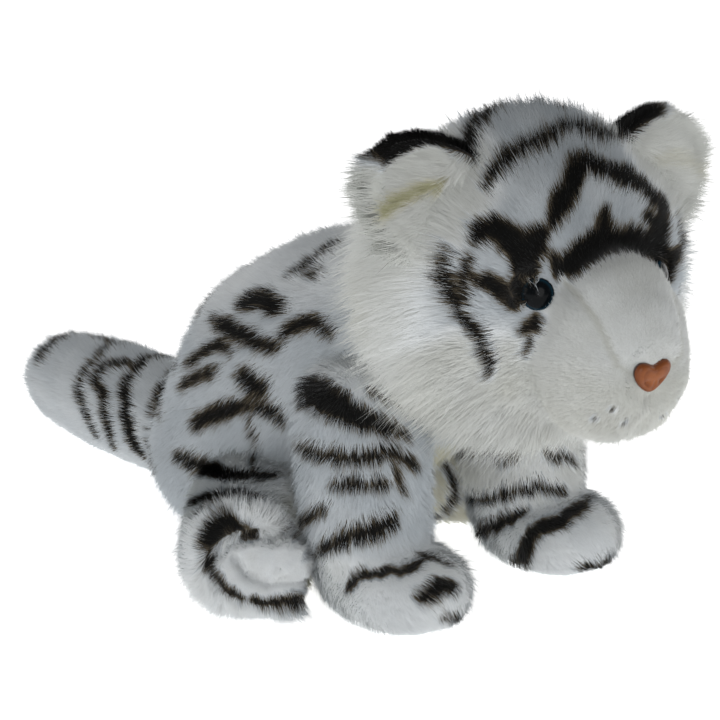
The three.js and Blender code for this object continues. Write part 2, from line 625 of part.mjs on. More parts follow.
// Where each sewn joint flexes, about what and how far
const otherSide = ({ pivot, axis }) => ({
  pivot: point(-pivot.x, pivot.y, pivot.z),
  axis: point(axis.x, -axis.y, -axis.z),
});
const hingeOnHead = ({ pivot, axis }) => ({
  pivot: pivot.clone().applyMatrix4(headPlace),
  axis: axis.clone().transformDirection(headPlace),
});
group.userData.joints = {
  head_turn: { ...neckHinge, flex: HEAD_FLEX },
  foreleg_swing_left: { ...forelegHinge, flex: FORELEG_FLEX },
  foreleg_swing_right: { ...otherSide(forelegHinge), flex: FORELEG_FLEX },
  hind_leg_swing_left: { ...hindHinge, flex: HIND_LEG_FLEX },
  hind_leg_swing_right: { ...otherSide(hindHinge), flex: HIND_LEG_FLEX },
  tail_sway: { ...tailHinge, flex: TAIL_FLEX },
  ear_fold_left: { ...hingeOnHead(earHinge), flex: EAR_FLEX },
  ear_fold_right: { ...hingeOnHead(otherSide(earHinge)), flex: EAR_FLEX },
};

export default group;
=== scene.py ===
"""The looks of a plush white tiger cub that sits up: stuffed skins, strands of pile with dyed stripes,
moulded eyes and nose, and sewn creases. Metres, in the CAD's frame: the cub faces -Y, its right side is -X,
and it sits on z = 0."""
import json
import math

import bmesh
import bpy
import numpy as np
from mathutils import Matrix, Vector
from mathutils.bvhtree import BVHTree


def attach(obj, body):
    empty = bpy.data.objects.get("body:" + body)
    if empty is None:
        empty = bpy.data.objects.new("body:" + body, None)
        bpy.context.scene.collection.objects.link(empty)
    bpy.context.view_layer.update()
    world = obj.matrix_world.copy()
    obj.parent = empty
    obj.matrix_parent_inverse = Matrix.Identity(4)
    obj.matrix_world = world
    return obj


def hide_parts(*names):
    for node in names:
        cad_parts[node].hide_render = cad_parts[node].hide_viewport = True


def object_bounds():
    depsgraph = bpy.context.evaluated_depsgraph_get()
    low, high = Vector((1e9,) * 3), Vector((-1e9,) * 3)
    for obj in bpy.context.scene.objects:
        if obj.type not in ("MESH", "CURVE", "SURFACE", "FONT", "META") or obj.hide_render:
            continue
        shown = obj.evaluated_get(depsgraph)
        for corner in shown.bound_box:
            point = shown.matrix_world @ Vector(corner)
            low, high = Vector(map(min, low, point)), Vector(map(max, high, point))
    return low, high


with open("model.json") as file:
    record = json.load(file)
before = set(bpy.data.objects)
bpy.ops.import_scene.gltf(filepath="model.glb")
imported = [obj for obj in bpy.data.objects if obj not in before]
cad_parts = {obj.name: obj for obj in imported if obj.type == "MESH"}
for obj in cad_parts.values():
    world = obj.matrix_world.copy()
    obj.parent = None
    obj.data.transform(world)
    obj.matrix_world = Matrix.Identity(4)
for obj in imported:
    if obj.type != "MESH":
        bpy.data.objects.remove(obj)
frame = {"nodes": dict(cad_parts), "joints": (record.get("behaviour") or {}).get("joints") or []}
cad_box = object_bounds()
scene = bpy.context.scene
MM = 0.001
SIDES = {"left": 1, "right": -1}

# The photograph's view
PHOTO_SIDE = 720  # pixels
VIEW_TURN = math.radians(-45)
VIEW_RISE = math.radians(16.4)
VIEW_AWAY = 1.3
VIEW_AIM = Vector((0, -0.055, 0.103))
LENS, SENSOR = 130, 36  # mm
PIXEL = 0.5 * MM  # on the toy, about
# How far the dye spreads past the dark middle of a band that was read, as a share of its width
BAND_FULLNESS = {"torso": 1.3, "head": 1.12, "tail": 1.5}
LEG_BAND_FULLNESS = 1.02

view_back = Vector((math.sin(VIEW_TURN) * math.cos(VIEW_RISE), -math.cos(VIEW_TURN) * math.cos(VIEW_RISE),
                    math.sin(VIEW_RISE)))
camera = bpy.data.objects.new("camera", bpy.data.cameras.new("camera"))
camera.data.lens, camera.data.sensor_width = LENS, SENSOR
camera.location = VIEW_AIM + view_back * VIEW_AWAY
camera.rotation_euler = (-view_back).to_track_quat("-Z", "Y").to_euler()
scene.collection.objects.link(camera)
scene.camera = camera
LENS_POINT = np.array(VIEW_AIM + view_back * VIEW_AWAY)
VIEW_AHEAD = -np.array(view_back)
VIEW_RIGHT = np.cross(VIEW_AHEAD, (0, 0, 1))
VIEW_RIGHT /= np.linalg.norm(VIEW_RIGHT)
VIEW_UP = np.cross(VIEW_RIGHT, VIEW_AHEAD)
FOCAL = LENS / SENSOR * PHOTO_SIDE

# The head's own frame
neck = next(j for j in frame["joints"] if j["name"] == "head_turn")
HEAD_MIDDLE = np.array(neck["pos_m"]) + np.array((0, -38, 32)) * MM
HEAD_TURN = math.radians(-15)
HEAD_AXES = np.array(Matrix.Rotation(HEAD_TURN, 3, "Z"))
MUZZLE_MIDDLE = np.array((0, -75, -20)) * MM
EAR_LEAN = math.radians(54)
EAR_FOOT = 62 * MM  # of the ear's fold from the head's middle
EAR_HALF_WIDTH = 26 * MM
EAR_HEIGHT = 35 * MM


def in_head(points):
    return (points - HEAD_MIDDLE) @ HEAD_AXES


def out_of_head(points):
    return points @ HEAD_AXES.T + HEAD_MIDDLE


def mirrored(points, on_head):
    flip = np.array((-1, 1, 1))
    return out_of_head(in_head(points) * flip) if on_head else points * flip


# Small sums
WAVES, WAVE_SIZES, WAVE_HEIGHT = 9, (0.6, 1.7), 4  # of a ripple: count, shares of its size, and usual most


def unit(v):
    return v / np.maximum(np.linalg.norm(v, axis=-1, keepdims=True), 1e-9)


def ease(low, high, value):
    t = np.clip((value - low) / (high - low), 0, 1)
    return t * t * (3 - 2 * t)


def mix(a, b, share):
    return a + (b - a) * share


def along(vectors, normals):
    """The part of each vector that lies in the skin, as a unit vector."""
    vectors = np.broadcast_to(np.asarray(vectors, float), normals.shape)
    return unit(vectors - normals * (vectors * normals).sum(1, keepdims=True))


def ripple(points, size, seed):
    """Smooth waves of about one size, from -1 to 1, the same on every run."""
    rng = np.random.default_rng(seed)
    total = np.zeros(len(points))
    for _ in range(WAVES):
        way = unit(rng.normal(size=3)) * 2 * math.pi / (size * rng.uniform(*WAVE_SIZES))
        total += np.sin(points @ way + rng.uniform(0, 2 * math.pi))
    return np.clip(total / WAVE_HEIGHT, -1, 1)


def on_photo(points):
    """Each point's pixel on the photograph, and its depth from the lens."""
    d = points - LENS_POINT
    depth = d @ VIEW_AHEAD
    x = PHOTO_SIDE / 2 + FOCAL * (d @ VIEW_RIGHT) / depth
    y = PHOTO_SIDE / 2 - FOCAL * (d @ VIEW_UP) / depth
    return np.stack([x, y], -1), depth


# Node trees
class Wiring:
    """Adds nodes to a tree and joins their sockets."""

    def __init__(self, tree):
        self.tree = tree

    def pick(self, sockets, name):
        return next(s for s in sockets if s.name == name and s.enabled)

    def feed(self, socket, value):
        if isinstance(value, bpy.types.NodeSocket):
            self.tree.links.new(value, socket)
        else:
            socket.default_value = value

    def add(self, kind, inputs=(), **settings):
        node = self.tree.nodes.new(kind)
        for key, value in settings.items():
            setattr(node, key, value)
        for key, value in dict(inputs).items():
            self.feed(node.inputs[key] if isinstance(key, int) else self.pick(node.inputs, key), value)
        return node

    def get(self, kind, output, inputs=(), **settings):
        return self.pick(self.add(kind, inputs, **settings).outputs, output)

    def sum(self, operation, *values):
        return self.get("ShaderNodeMath", "Value", dict(enumerate(values)), operation=operation)

    def way(self, operation, *values):
        return self.get("ShaderNodeVectorMath", "Vector", dict(enumerate(values)), operation=operation)

    def scaled(self, vector, by):
        return self.get("ShaderNodeVectorMath", "Vector", {0: vector, "Scale": by}, operation="SCALE")


# Finishes
COAT_TONES = {  # share along the coat's tones: colour
    0.00: (0.35, 0.345, 0.2),  # painted shade on cream, for the ear's fold
    0.08: (0.56, 0.545, 0.43),  # cream
    0.16: (0.56, 0.57, 0.535),  # warm white
    0.26: (0.75, 0.775, 0.785),  # white
    0.36: (0.46, 0.50, 0.53),  # cool white, darkened with painted shade
    0.42: (0.41, 0.44, 0.465),
    0.58: (0.15, 0.125, 0.085),  # brown of a band's edge
    0.78: (0.024, 0.019, 0.013),
    1.00: (0.004, 0.0042, 0.004),  # black of a band's middle
}
# The cool white is partly the fur's cool tint and partly painted shade
CREAM, WARM_WHITE, WHITE, COOL_SHADED_WHITE, BLACK = 0.06, 0.16, 0.26, 0.35, 1.0
CHIN_PAINTED_SHADE = 0.045  # painted warm shade under the muzzle, in tones from its top down to its chin
FRINGE_FROM = 0.42  # tones past this belong to a band
# Painted shade at a strand's root, fading out towards its tip
ROOT_SHADE, TIP_SHADE = 0.86, 1.02
MOULDED_GRAIN = 900  # grains in a metre
MOULDED_TINT = 0.8, 1.2  # least and most brightness of the grains


def coat_colours():
    """Colour of the dyed pile from its tone, with painted shade towards its root."""
    group = bpy.data.node_groups.new("coat colours", "ShaderNodeTree")
    for label in ("Coat", "Height"):
        group.interface.new_socket(label, in_out="INPUT", socket_type="NodeSocketFloat")
    group.interface.new_socket("Colour", in_out="OUTPUT", socket_type="NodeSocketColor")
    w = Wiring(group)
    put, got = w.add("NodeGroupInput"), w.add("NodeGroupOutput")
    ramp = w.add("ShaderNodeValToRGB", {"Fac": put.outputs["Coat"]})
    stops = ramp.color_ramp.elements
    for place, colour in COAT_TONES.items():
        stop = stops[0] if place == 0 else stops[-1] if place == 1 else stops.new(place)
        stop.position, stop.color = place, (*colour, 1)
    shade = w.get("ShaderNodeMapRange", "Result", {
        "Value": put.outputs["Height"], "To Min": ROOT_SHADE, "To Max": TIP_SHADE})
    shaded = w.get("ShaderNodeMix", "Result", {"Factor": 1.0, "A": ramp.outputs["Color"], "B": shade},
                   data_type="RGBA", blend_type="MULTIPLY")
    w.feed(got.inputs["Colour"], shaded)
    return group


def speckle():
    """Fine unevenness of a moulded or woven surface, as a value round one half."""
    group = bpy.data.node_groups.new("fine speckle", "ShaderNodeTree")
    group.interface.new_socket("Grain", in_out="INPUT", socket_type="NodeSocketFloat")
    group.interface.new_socket("Value", in_out="OUTPUT", socket_type="NodeSocketFloat")
    w = Wiring(group)
    put, got = w.add("NodeGroupInput"), w.add("NodeGroupOutput")
    place = w.get("ShaderNodeTexCoord", "Object")
    w.feed(got.inputs["Value"], w.get("ShaderNodeTexNoise", "Fac", {
        "Vector": place, "Scale": put.outputs["Grain"], "Detail": 3.0, "Roughness": 0.6}))
    return group


COAT_COLOURS = coat_colours()
SPECKLE = speckle()


def new_material(name):
    material = bpy.data.materials.new(name)
    material.use_nodes = True
    material.node_tree.nodes.clear()
    w = Wiring(material.node_tree)
    shader = w.add("ShaderNodeBsdfPrincipled")
    w.add("ShaderNodeOutputMaterial", {"Surface": shader.outputs[0]})
    return material, w, shader


def pile_material(name, roughness, sheen):
    """Strands of pile: their own map holds the tone along and the height up."""
    material, w, shader = new_material(name)
    spot = w.get("ShaderNodeUVMap", "UV", uv_map="OFBake")
    parts = w.add("ShaderNodeSeparateXYZ", {"Vector": spot})
    coat = w.add("ShaderNodeGroup", node_tree=COAT_COLOURS)
    w.feed(coat.inputs["Coat"], parts.outputs["X"])
    w.feed(coat.inputs["Height"], parts.outputs["Y"])
    w.feed(shader.inputs["Base Color"], coat.outputs["Colour"])
    shader.inputs["Roughness"].default_value = roughness
    shader.inputs["Sheen Weight"].default_value = sheen
    shader.inputs["Sheen Roughness"].default_value = 0.45
    shader.inputs["Specular IOR Level"].default_value = 0.1
    return material


def backing_material(name, grain):
    """The knitted backing that the pile grows from."""
    material, w, shader = new_material(name)
    tone = w.get("ShaderNodeAttribute", "Fac", attribute_name="coat")
    fine = w.add("ShaderNodeGroup", node_tree=SPECKLE)
    fine.inputs["Grain"].default_value = grain
    coat = w.add("ShaderNodeGroup", node_tree=COAT_COLOURS)
    w.feed(coat.inputs["Coat"], tone)
    w.feed(coat.inputs["Height"], fine.outputs["Value"])
    w.feed(shader.inputs["Base Color"], coat.outputs["Colour"])
    bump = w.add("ShaderNodeBump", {"Height": fine.outputs["Value"], "Strength": 0.5, "Distance": 0.0006})
    w.feed(shader.inputs["Normal"], bump.outputs["Normal"])
    shader.inputs["Roughness"].default_value = 0.85
    shader.inputs["Sheen Weight"].default_value = 0.2
    return material


def gloss_material(name, stops, roughness, coat, shine):
    """Moulded plastic coloured by the attribute "ring", with a polished coat and slight unevenness."""
    material, w, shader = new_material(name)
    ramp = w.add("ShaderNodeValToRGB", {"Fac": w.get("ShaderNodeAttribute", "Fac", attribute_name="ring")})
    marks = ramp.color_ramp.elements
    for place, colour in stops.items():
        mark = marks[0] if place == 0 else marks[-1] if place == 1 else marks.new(place)
        mark.position, mark.color = place, (*colour, 1)
    fine = w.add("ShaderNodeGroup", node_tree=SPECKLE)
    fine.inputs["Grain"].default_value = MOULDED_GRAIN
    tinted = w.get("ShaderNodeMapRange", "Result", {
        "Value": fine.outputs["Value"], "To Min": MOULDED_TINT[0], "To Max": MOULDED_TINT[1]})
    colour = w.get("ShaderNodeMix", "Result", {"Factor": 1.0, "A": ramp.outputs["Color"], "B": tinted},
                   data_type="RGBA", blend_type="MULTIPLY")
    w.feed(shader.inputs["Base Color"], colour)
    w.feed(shader.inputs["Roughness"], w.get("ShaderNodeMapRange", "Result", {
        "Value": fine.outputs["Value"], "To Min": roughness * 0.7, "To Max": roughness * 1.3}))
    shader.inputs["Coat Weight"].default_value = coat
    shader.inputs["Specular IOR Level"].default_value = shine
    shader.inputs["Coat Roughness"].default_value = 0.06
    return material


LONG_PILE = pile_material("long pile", 0.7, 0.0)
SHORT_PILE = pile_material("short pile", 0.8, 0.1)
EAR_PILE = pile_material("ear pile", 0.75, 0.0)
KNIT = backing_material("knitted backing", 1400)
FINE_KNIT = backing_material("fine knitted backing", 2200)
EYE_TONES = {  # share of the way out from the middle: colour
    0: (0.002, 0.0025, 0.003),
    0.76: (0.002, 0.003, 0.004),
    0.84: (0.003, 0.012, 0.019),
    0.91: (0.005, 0.026, 0.042),  # the blue ring
    0.95: (0.003, 0.008, 0.014),
    1: (0.002, 0.002, 0.002),
}
# The nose's tones: its own colour in the middle, darker towards its rim with painted shade
NOSE_PAINTED_SHADE_TONES = {
    0: (0.25, 0.075, 0.018),
    0.6: (0.21, 0.06, 0.014),
    0.85: (0.14, 0.036, 0.009),
    1: (0.045, 0.012, 0.005),
}
WASHER_TONES = {0: (0.55, 0.55, 0.53), 1: (0.5, 0.5, 0.48)}
EYE_GLOSS = gloss_material("eye gloss", EYE_TONES, roughness=0.16, coat=0.02, shine=0.08)
NOSE_GLOSS = gloss_material("nose gloss", NOSE_PAINTED_SHADE_TONES, roughness=0.35, coat=0.08, shine=0.2)
WASHER = gloss_material("washer plastic", WASHER_TONES, roughness=0.5, coat=0.0, shine=0.3)


# Mesh tools
FLOOR_GAP = 0.4 * MM
PILE_TOP = cad_box[1][2] + 15.5 * MM  # no strand stands higher
WELD = 0.01 * MM
SMOOTHING = 0.5  # of each round
PLAIN_PILE = 10 * MM
SHOWN_UP, SHOWN_ALONG = 0.5, 0.45  # of the pile's length, from its root to where it is seen
PILE_FEEL, PILE_ROOM = 2 * MM, 1.1  # height that another piece is felt at, and length for each metre from it
NEIGHBOUR, NEIGHBOUR_SEARCH = 15 * MM, 40 * MM  # between pieces that may press on each other's pile
TRACE_STEP, TRACE_ROUNDING = 2.0, 6  # pixels between traced points, and rounds of smoothing
TRACE_FACING = 0.02  # least towards the lens
DEPTH_COST = 120  # pixels for each metre that a point lies behind the nearest one


def settle(obj):
    """Works the object's modifiers into its mesh."""
    deps = bpy.context.evaluated_depsgraph_get()
    worked = obj.evaluated_get(deps)
    mesh = bpy.data.meshes.new_from_object(worked, preserve_all_data_layers=True, depsgraph=deps)
    obj.modifiers.clear()
    obj.data = mesh
    mesh.name = obj.name


def read(layer, field="vector"):
    values = np.empty(len(layer) * 3, np.float32)
    layer.foreach_get(field, values)
    return values.reshape(-1, 3).astype(float)


def write(obj, name, values):
    values = np.ascontiguousarray(values, np.float32)
    kind = "FLOAT_VECTOR" if values.ndim == 2 else "FLOAT"
    layer = obj.data.attributes.get(name) or obj.data.attributes.new(name, kind, "POINT")
    layer.data.foreach_set("vector" if values.ndim == 2 else "value", values.ravel())


def outermost(mesh):
    """Keeps only the largest closed surface of a mesh, without what is shut up inside it."""
    bm = bmesh.new()
    bm.from_mesh(mesh)
    bm.verts.ensure_lookup_table()
    left, groups = set(bm.verts), []
    while left:
        start = left.pop()
        group, edge = [start], [start]
        while edge:
            vert = edge.pop()
            for link in vert.link_edges:
                other = link.other_vert(vert)
                if other in left:
                    left.remove(other)
                    group.append(other)
                    edge.append(other)
        groups.append(group)
    groups.sort(key=len)
    bmesh.ops.delete(bm, geom=[v for group in groups[:-1] for v in group], context="VERTS")
    bm.to_mesh(mesh)
    bm.free()


class Skin:
    """A stuffed piece of the toy, and what its pile needs at each of its points."""

    def __init__(self, name, body, slot, nodes, grid, soften, swell, backing=KNIT):
        self.name, self.body, self.slot, self.nodes = name, body, slot, nodes
        bm = bmesh.new()
        for node in nodes:
            bm.from_mesh(frame["nodes"][node].data)
        bmesh.ops.remove_doubles(bm, verts=bm.verts, dist=WELD)
        mesh = bpy.data.meshes.new(name)
        bm.to_mesh(mesh)
        bm.free()
        self.obj = bpy.data.objects.new(name, mesh)
        scene.collection.objects.link(self.obj)
        even = self.obj.modifiers.new("even grid", "REMESH")
        even.mode, even.voxel_size = "VOXEL", grid
        settle(self.obj)
        outermost(self.obj.data)
        soft = self.obj.modifiers.new("soften", "SMOOTH")
        soft.factor, soft.iterations = SMOOTHING, soften
        full = self.obj.modifiers.new("swell", "DISPLACE")
        full.strength, full.mid_level = swell, 0
        settle(self.obj)
        self.obj.data.materials.clear()
        self.obj.data.materials.append(backing)
        self.obj.data.shade_smooth()
        self.refresh()
        self.shift(np.zeros_like(self.points))
        self.tone = np.full(len(self.points), COOL_SHADED_WHITE)
        self.pile = np.full(len(self.points), PLAIN_PILE)
        self.lie = np.zeros_like(self.points)
        self.cover = np.ones(len(self.points))

    def refresh(self):
        mesh = self.obj.data
        self.points = read(mesh.vertices, "co")
        self.normals = read(mesh.vertex_normals)
        faces = [p.vertices for p in mesh.polygons]
        self.tree = BVHTree.FromPolygons([Vector(p) for p in self.points], faces)

    def shift(self, moves):
        """Moves each point, and keeps it above the floor."""
        self.points = self.points + moves
        self.points[:, 2] = np.maximum(self.points[:, 2], FLOOR_GAP)
        self.obj.data.vertices.foreach_set("co", self.points.astype(np.float32).ravel())
        self.obj.data.update()
        self.refresh()

    def push(self, distance):
        """Moves each point out along its normal."""
        self.shift(self.normals * distance[:, None])

    def tips(self):
        """About where the pile that grows at each point is seen."""
        return self.points + (self.normals * SHOWN_UP + self.lie * SHOWN_ALONG) * self.pile[:, None]

    def make_room(self, others, least):
        """No pile where another piece is sewn on or lies against this one, and shorter pile beside it."""
        low, high = self.points.min(0) - NEIGHBOUR, self.points.max(0) + NEIGHBOUR
        near = [o for o in others if (o.points.min(0) < high).all() and (o.points.max(0) > low).all()]
        for other in near:
            for i, (p, n) in enumerate(zip(self.points, self.normals)):
                spot = Vector(p + n * PILE_FEEL)
                hit, facing, _, distance = other.tree.find_nearest(spot, NEIGHBOUR_SEARCH)
                if hit is None:
                    continue
                if (spot - hit).dot(facing) < 0:
                    self.cover[i] = 0
                else:
                    self.pile[i] = min(self.pile[i], least + PILE_ROOM * distance)

    def declare(self, fill):
        write(self.obj, "coat", self.tone)
        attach(self.obj, self.body)
        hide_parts(*self.nodes)


# The stuffed pieces
skins = {}


def stuffed(part, body, slot, nodes, grid, soften, swell, backing=KNIT, side=None):
    """A stuffed piece: its grid and swell are in mm, and its softening is in rounds."""
    end = f"_{side}" if side else ""
    nodes = [node + end for node in nodes]
    name, body = f"{part}_skin{end}", body + end
    skins[part + end] = Skin(name, body, slot, nodes, grid * MM, soften, swell * MM, backing)


stuffed("torso", "torso", "white_pile", ["torso_cover", "torso_stuffing"], 2.6, 100, 2.6)
stuffed("belly", "torso", "cream_pile", ["belly_panel"], 1.6, 6, 1.2)
stuffed("head", "head", "white_pile", ["head_cover", "head_stuffing", "muzzle_cover"], 1.6, 26, 1)
stuffed("tail", "tail", "white_pile", ["tail_cover", "tail_stuffing"], 2, 24, 1)
for side in SIDES:
    for leg, soften in (("foreleg", 22), ("hind_leg", 20)):
        stuffed(leg, leg, "white_pile", [f"{leg}_cover", f"{leg}_stuffing"], 2, soften, 1, side=side)
    stuffed("sole", "hind_leg", "short_pile", ["sole_pad"], 1.2, 6, 1.6, FINE_KNIT, side)
    for layer, slot in (("ear_front", "ear_pile"), ("ear_back", "black_pile")):
        stuffed(layer, "ear", slot, [layer], 1, 3, 0.2, side=side)


def traced(skins, pixels, bare=False):
    """Points on the skins' pile, or on the bare skins, that the photograph shows along a line of pixels."""
    line = np.array(pixels, float)
    reach = np.concatenate([[0], np.cumsum(np.linalg.norm(np.diff(line, axis=0), axis=1))])
    spots = np.linspace(0, reach[-1], max(2, int(reach[-1] / TRACE_STEP)))
    line = np.stack([np.interp(spots, reach, line[:, k]) for k in (0, 1)], -1)
    for _ in range(TRACE_ROUNDING):
        line[1:-1] = (line[:-2] + 2 * line[1:-1] + line[2:]) / 4
    shown = []
    for skin in skins:
        toward = ((LENS_POINT - skin.points) * skin.normals).sum(1) > TRACE_FACING
        shown.append((skin.points if bare else skin.tips())[toward & (skin.cover > 0)])
    shown = np.vstack(shown)
    pixel, depth = on_photo(shown)
    gap = np.linalg.norm(pixel[None] - line[:, None], axis=-1) + (depth - depth.min()) * DEPTH_COST
    return shown[gap.argmin(1)]


# Cushions and creases
SOLE_MIDDLE, SOLE_HALF = np.array((265, 569)), np.array((48, 33))  # pixels, of the right foot's cushion
SOLE_CROWN = 9.5 * MM
SOLE_CREASE = 4.5 * MM
SOLE_FACING = 0.1, 0.6  # share of straight out, from the pad's edge to its face
SOLE_ROUNDING = 1.2, 0.84  # shares of the cushion's half sizes
SOLE_PUFFS = ((246, 582, 22, 4), (278, 556, 20, 4))  # pixel, reach in pixels and height in mm
SOLE_FOLD = ((236, 552), (250, 567), (270, 576), (298, 572))  # pixels
SOLE_FOLD_WIDTH = 4.5  # pixels
SOLE_FOLD_STEPS = 8  # points between two pixels
BRIDGE_SEAM = ((566, 282), (580, 298), (592, 312), (606, 338), (620, 368), (640, 380))  # pixels
SEAM_DEPTH, SEAM_WIDTH = 1.6 * MM, 4.5 * MM
SEAM_SOFT, SEAM_ROUNDS = (26 * MM, 6 * MM), 90  # reach beside the muzzle's seam, and rounds of smoothing
SEAM_KEPT = 6 * MM, 16 * MM  # from an eye
SEAM_LEAST = 0.01  # share of softening that counts
WHISKER_PAD = np.array((19, -90, -37)) * MM  # in the head's frame
PAD_PUFF, PAD_REACH = 3.5 * MM, 18 * MM
CHIN_GROOVE, CHIN_GROOVE_WIDTH = 2.2 * MM, 3 * MM
GROOVE_BELOW, GROOVE_AHEAD = (-30 * MM, -36 * MM), (-60 * MM, -72 * MM)  # in the head's frame
MUZZLE_FILL, MUZZLE_FILL_PAST = 2.5 * MM, (2 * MM, 16 * MM)  # past the seam
NOSE_SINK, NOSE_SINK_REACH = 2.2 * MM, (16 * MM, 9 * MM)


def pad_frame(skin):
    """A foot pad's middle and the way it faces."""
    middle = skin.points.mean(0)
    spread = skin.points - middle
    out = np.linalg.svd(spread, full_matrices=False)[2][2]
    return middle, out * -np.sign(out[1])


def cushion_pixels(skin):
    """Where the photograph shows each point of a foot pad, the left one's as if it were the right one's."""
    return on_photo(skin.points if skin.points[:, 0].mean() < 0 else mirrored(skin.points, False))[0]


def cushion_places(skin):
    """Each point of a foot pad across the cushion on it, as shares of the cushion's half sizes."""
    return (cushion_pixels(skin) - SOLE_MIDDLE) / SOLE_HALF


def crown_sole(skin):
    """Fills the middle of a foot pad to a cushion of two puffs with a fold between them."""
    out = pad_frame(skin)[1]
    pixels, facing = cushion_pixels(skin), ease(*SOLE_FACING, skin.normals @ out)
    round_off = ease(*SOLE_ROUNDING, np.linalg.norm(cushion_places(skin), axis=1))
    height = SOLE_CROWN * round_off
    for x, y, reach, puff in SOLE_PUFFS:
        height += puff * MM * np.exp(-((pixels - (x, y)) ** 2).sum(1) / reach ** 2)
    fold = np.array(SOLE_FOLD, float)
    steps = np.linspace(0, 1, SOLE_FOLD_STEPS)
    fold = np.vstack([mix(a, b, t) for a, b in zip(fold, fold[1:]) for t in steps])
    gap = np.linalg.norm(pixels[:, None] - fold[None], axis=-1).min(1)
    skin.push((height - SOLE_CREASE * np.exp(-(gap / SOLE_FOLD_WIDTH) ** 2)) * facing)


def past_seam(skin):
    """How far each point of the head lies on the muzzle's side of the seam between them."""
    gaps = []
    for node in ("head_cover", "muzzle_cover"):
        mesh = frame["nodes"][node].data
        tree = BVHTree.FromPolygons([v.co for v in mesh.vertices], [p.vertices for p in mesh.polygons])
        gaps.append(np.array([tree.find_nearest(Vector(p))[3] for p in skin.points]))
    return gaps[0] - gaps[1]


def soften_seam(skin):
    """Rounds the hollow where the muzzle meets the face, but not beside the eyes."""
    near = ease(*SEAM_SOFT, abs(past_seam(skin)))
    for seat in eye_seats:
        near *= ease(*SEAM_KEPT, np.linalg.norm(skin.points - seat, axis=1))
    zone = skin.obj.vertex_groups.new(name="seam")
    for i in np.nonzero(near > SEAM_LEAST)[0]:
        zone.add([int(i)], float(near[i]), "REPLACE")
    soft = skin.obj.modifiers.new("soften seam", "SMOOTH")
    soft.factor, soft.iterations, soft.vertex_group = SMOOTHING, SEAM_ROUNDS, zone.name
    settle(skin.obj)
    skin.obj.vertex_groups.clear()
    skin.refresh()


def crease_muzzle(skin):
    """Fills the muzzle, puffs its whisker pads, and draws in its seams and the groove under the nose."""
    place = in_head(skin.points)
    depth = MUZZLE_FILL * ease(*MUZZLE_FILL_PAST, past_seam(skin))
    depth -= NOSE_SINK * ease(*NOSE_SINK_REACH, np.linalg.norm(skin.points - nose_seat, axis=1))
    for flip in (1, -1):
        pad = WHISKER_PAD * (flip, 1, 1)
        depth += PAD_PUFF * np.exp(-((place - pad) ** 2).sum(1) / PAD_REACH ** 2)
    line = in_head(traced([skin], BRIDGE_SEAM, bare=True))
    for seam in (line, line * (-1, 1, 1)):
        gap = np.linalg.norm(place[:, None] - seam[None], axis=-1).min(1)
        depth -= SEAM_DEPTH * np.exp(-(gap / SEAM_WIDTH) ** 2)
    below = ease(*GROOVE_BELOW, place[:, 2]) * ease(*GROOVE_AHEAD, place[:, 1])
    depth -= CHIN_GROOVE * np.exp(-(place[:, 0] / CHIN_GROOVE_WIDTH) ** 2) * below
    skin.push(depth)


# Moulded eyes and nose
SHANK = 12.5 * MM
FLAT_WITHIN = 0.05 * MM  # of the face at a shank's end
STEM_RADIUS, STEM_FOOT, STEM_TOP = 2.2 * MM, -6 * MM, -1 * MM  # of the button's stem, in the cloth
EYE_RADIUS, EYE_DOME, EYE_RIM = 7.5 * MM, 5.5 * MM, 1.2 * MM
EYE_BACK = 0.94, -0.6 * MM  # size of the button's back as a share of its front, and height
NOSE_BACK = 0.9, -0.8 * MM
NOSE_DEPTH = 5 * MM


def seat_of(node):
    """The middle of a moulded piece's back, the way it faces and the way up it, from its shank's end."""
    mesh = frame["nodes"][node].data
    middle = Vector(HEAD_MIDDLE)
    end = min(mesh.polygons, key=lambda p: (p.center - middle).length)
    ring = [v.co for v in mesh.vertices if abs((v.co - end.center).dot(end.normal)) < FLAT_WITHIN]
    low, high = (Vector(map(pick, zip(*ring))) for pick in (min, max))
    facing = -end.normal
    up = (Vector((0, 0, 1)) - facing * facing.z).normalized()
    return np.array((low + high) / 2 + facing * SHANK), np.array(facing), np.array(up)


def moulded(name, node, body, slot, material, rings, ring_share):
    """A closed moulded button from rings of points, the last one a single tip, on its node's seat."""
    seat, facing, up = seat_of(node)
    across = np.cross(up, facing)
    bm = bmesh.new()
    layer = bm.verts.layers.float.new("ring")
    rows = []
    for ring, share in zip(rings, ring_share):
        row = []
        for x, y, z in ring:
            vert = bm.verts.new(seat + across * x + up * y + facing * z)
            vert[layer] = share
            row.append(vert)
        rows.append(row)
    for low, high in zip(rows, rows[1:]):
        for i, vert in enumerate(low):
            after = low[(i + 1) % len(low)]
            if len(high) == 1:
                bm.faces.new((vert, after, high[0]))
            else:
                bm.faces.new((vert, after, high[(i + 1) % len(high)], high[i]))
    bm.faces.new(rows[0][::-1])
    bmesh.ops.recalc_face_normals(bm, faces=bm.faces)
    mesh = bpy.data.meshes.new(name)
    bm.to_mesh(mesh)
    bm.free()
    mesh.materials.append(material)
    mesh.shade_smooth()
    obj = bpy.data.objects.new(name, mesh)
    scene.collection.objects.link(obj)
    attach(obj, body)
    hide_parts(node)
    return seat


def circle(radius, height, count=48):
    turn = np.linspace(0, 2 * math.pi, count, endpoint=False)
    return np.stack([radius * np.cos(turn), radius * np.sin(turn), np.full(count, height)], -1)


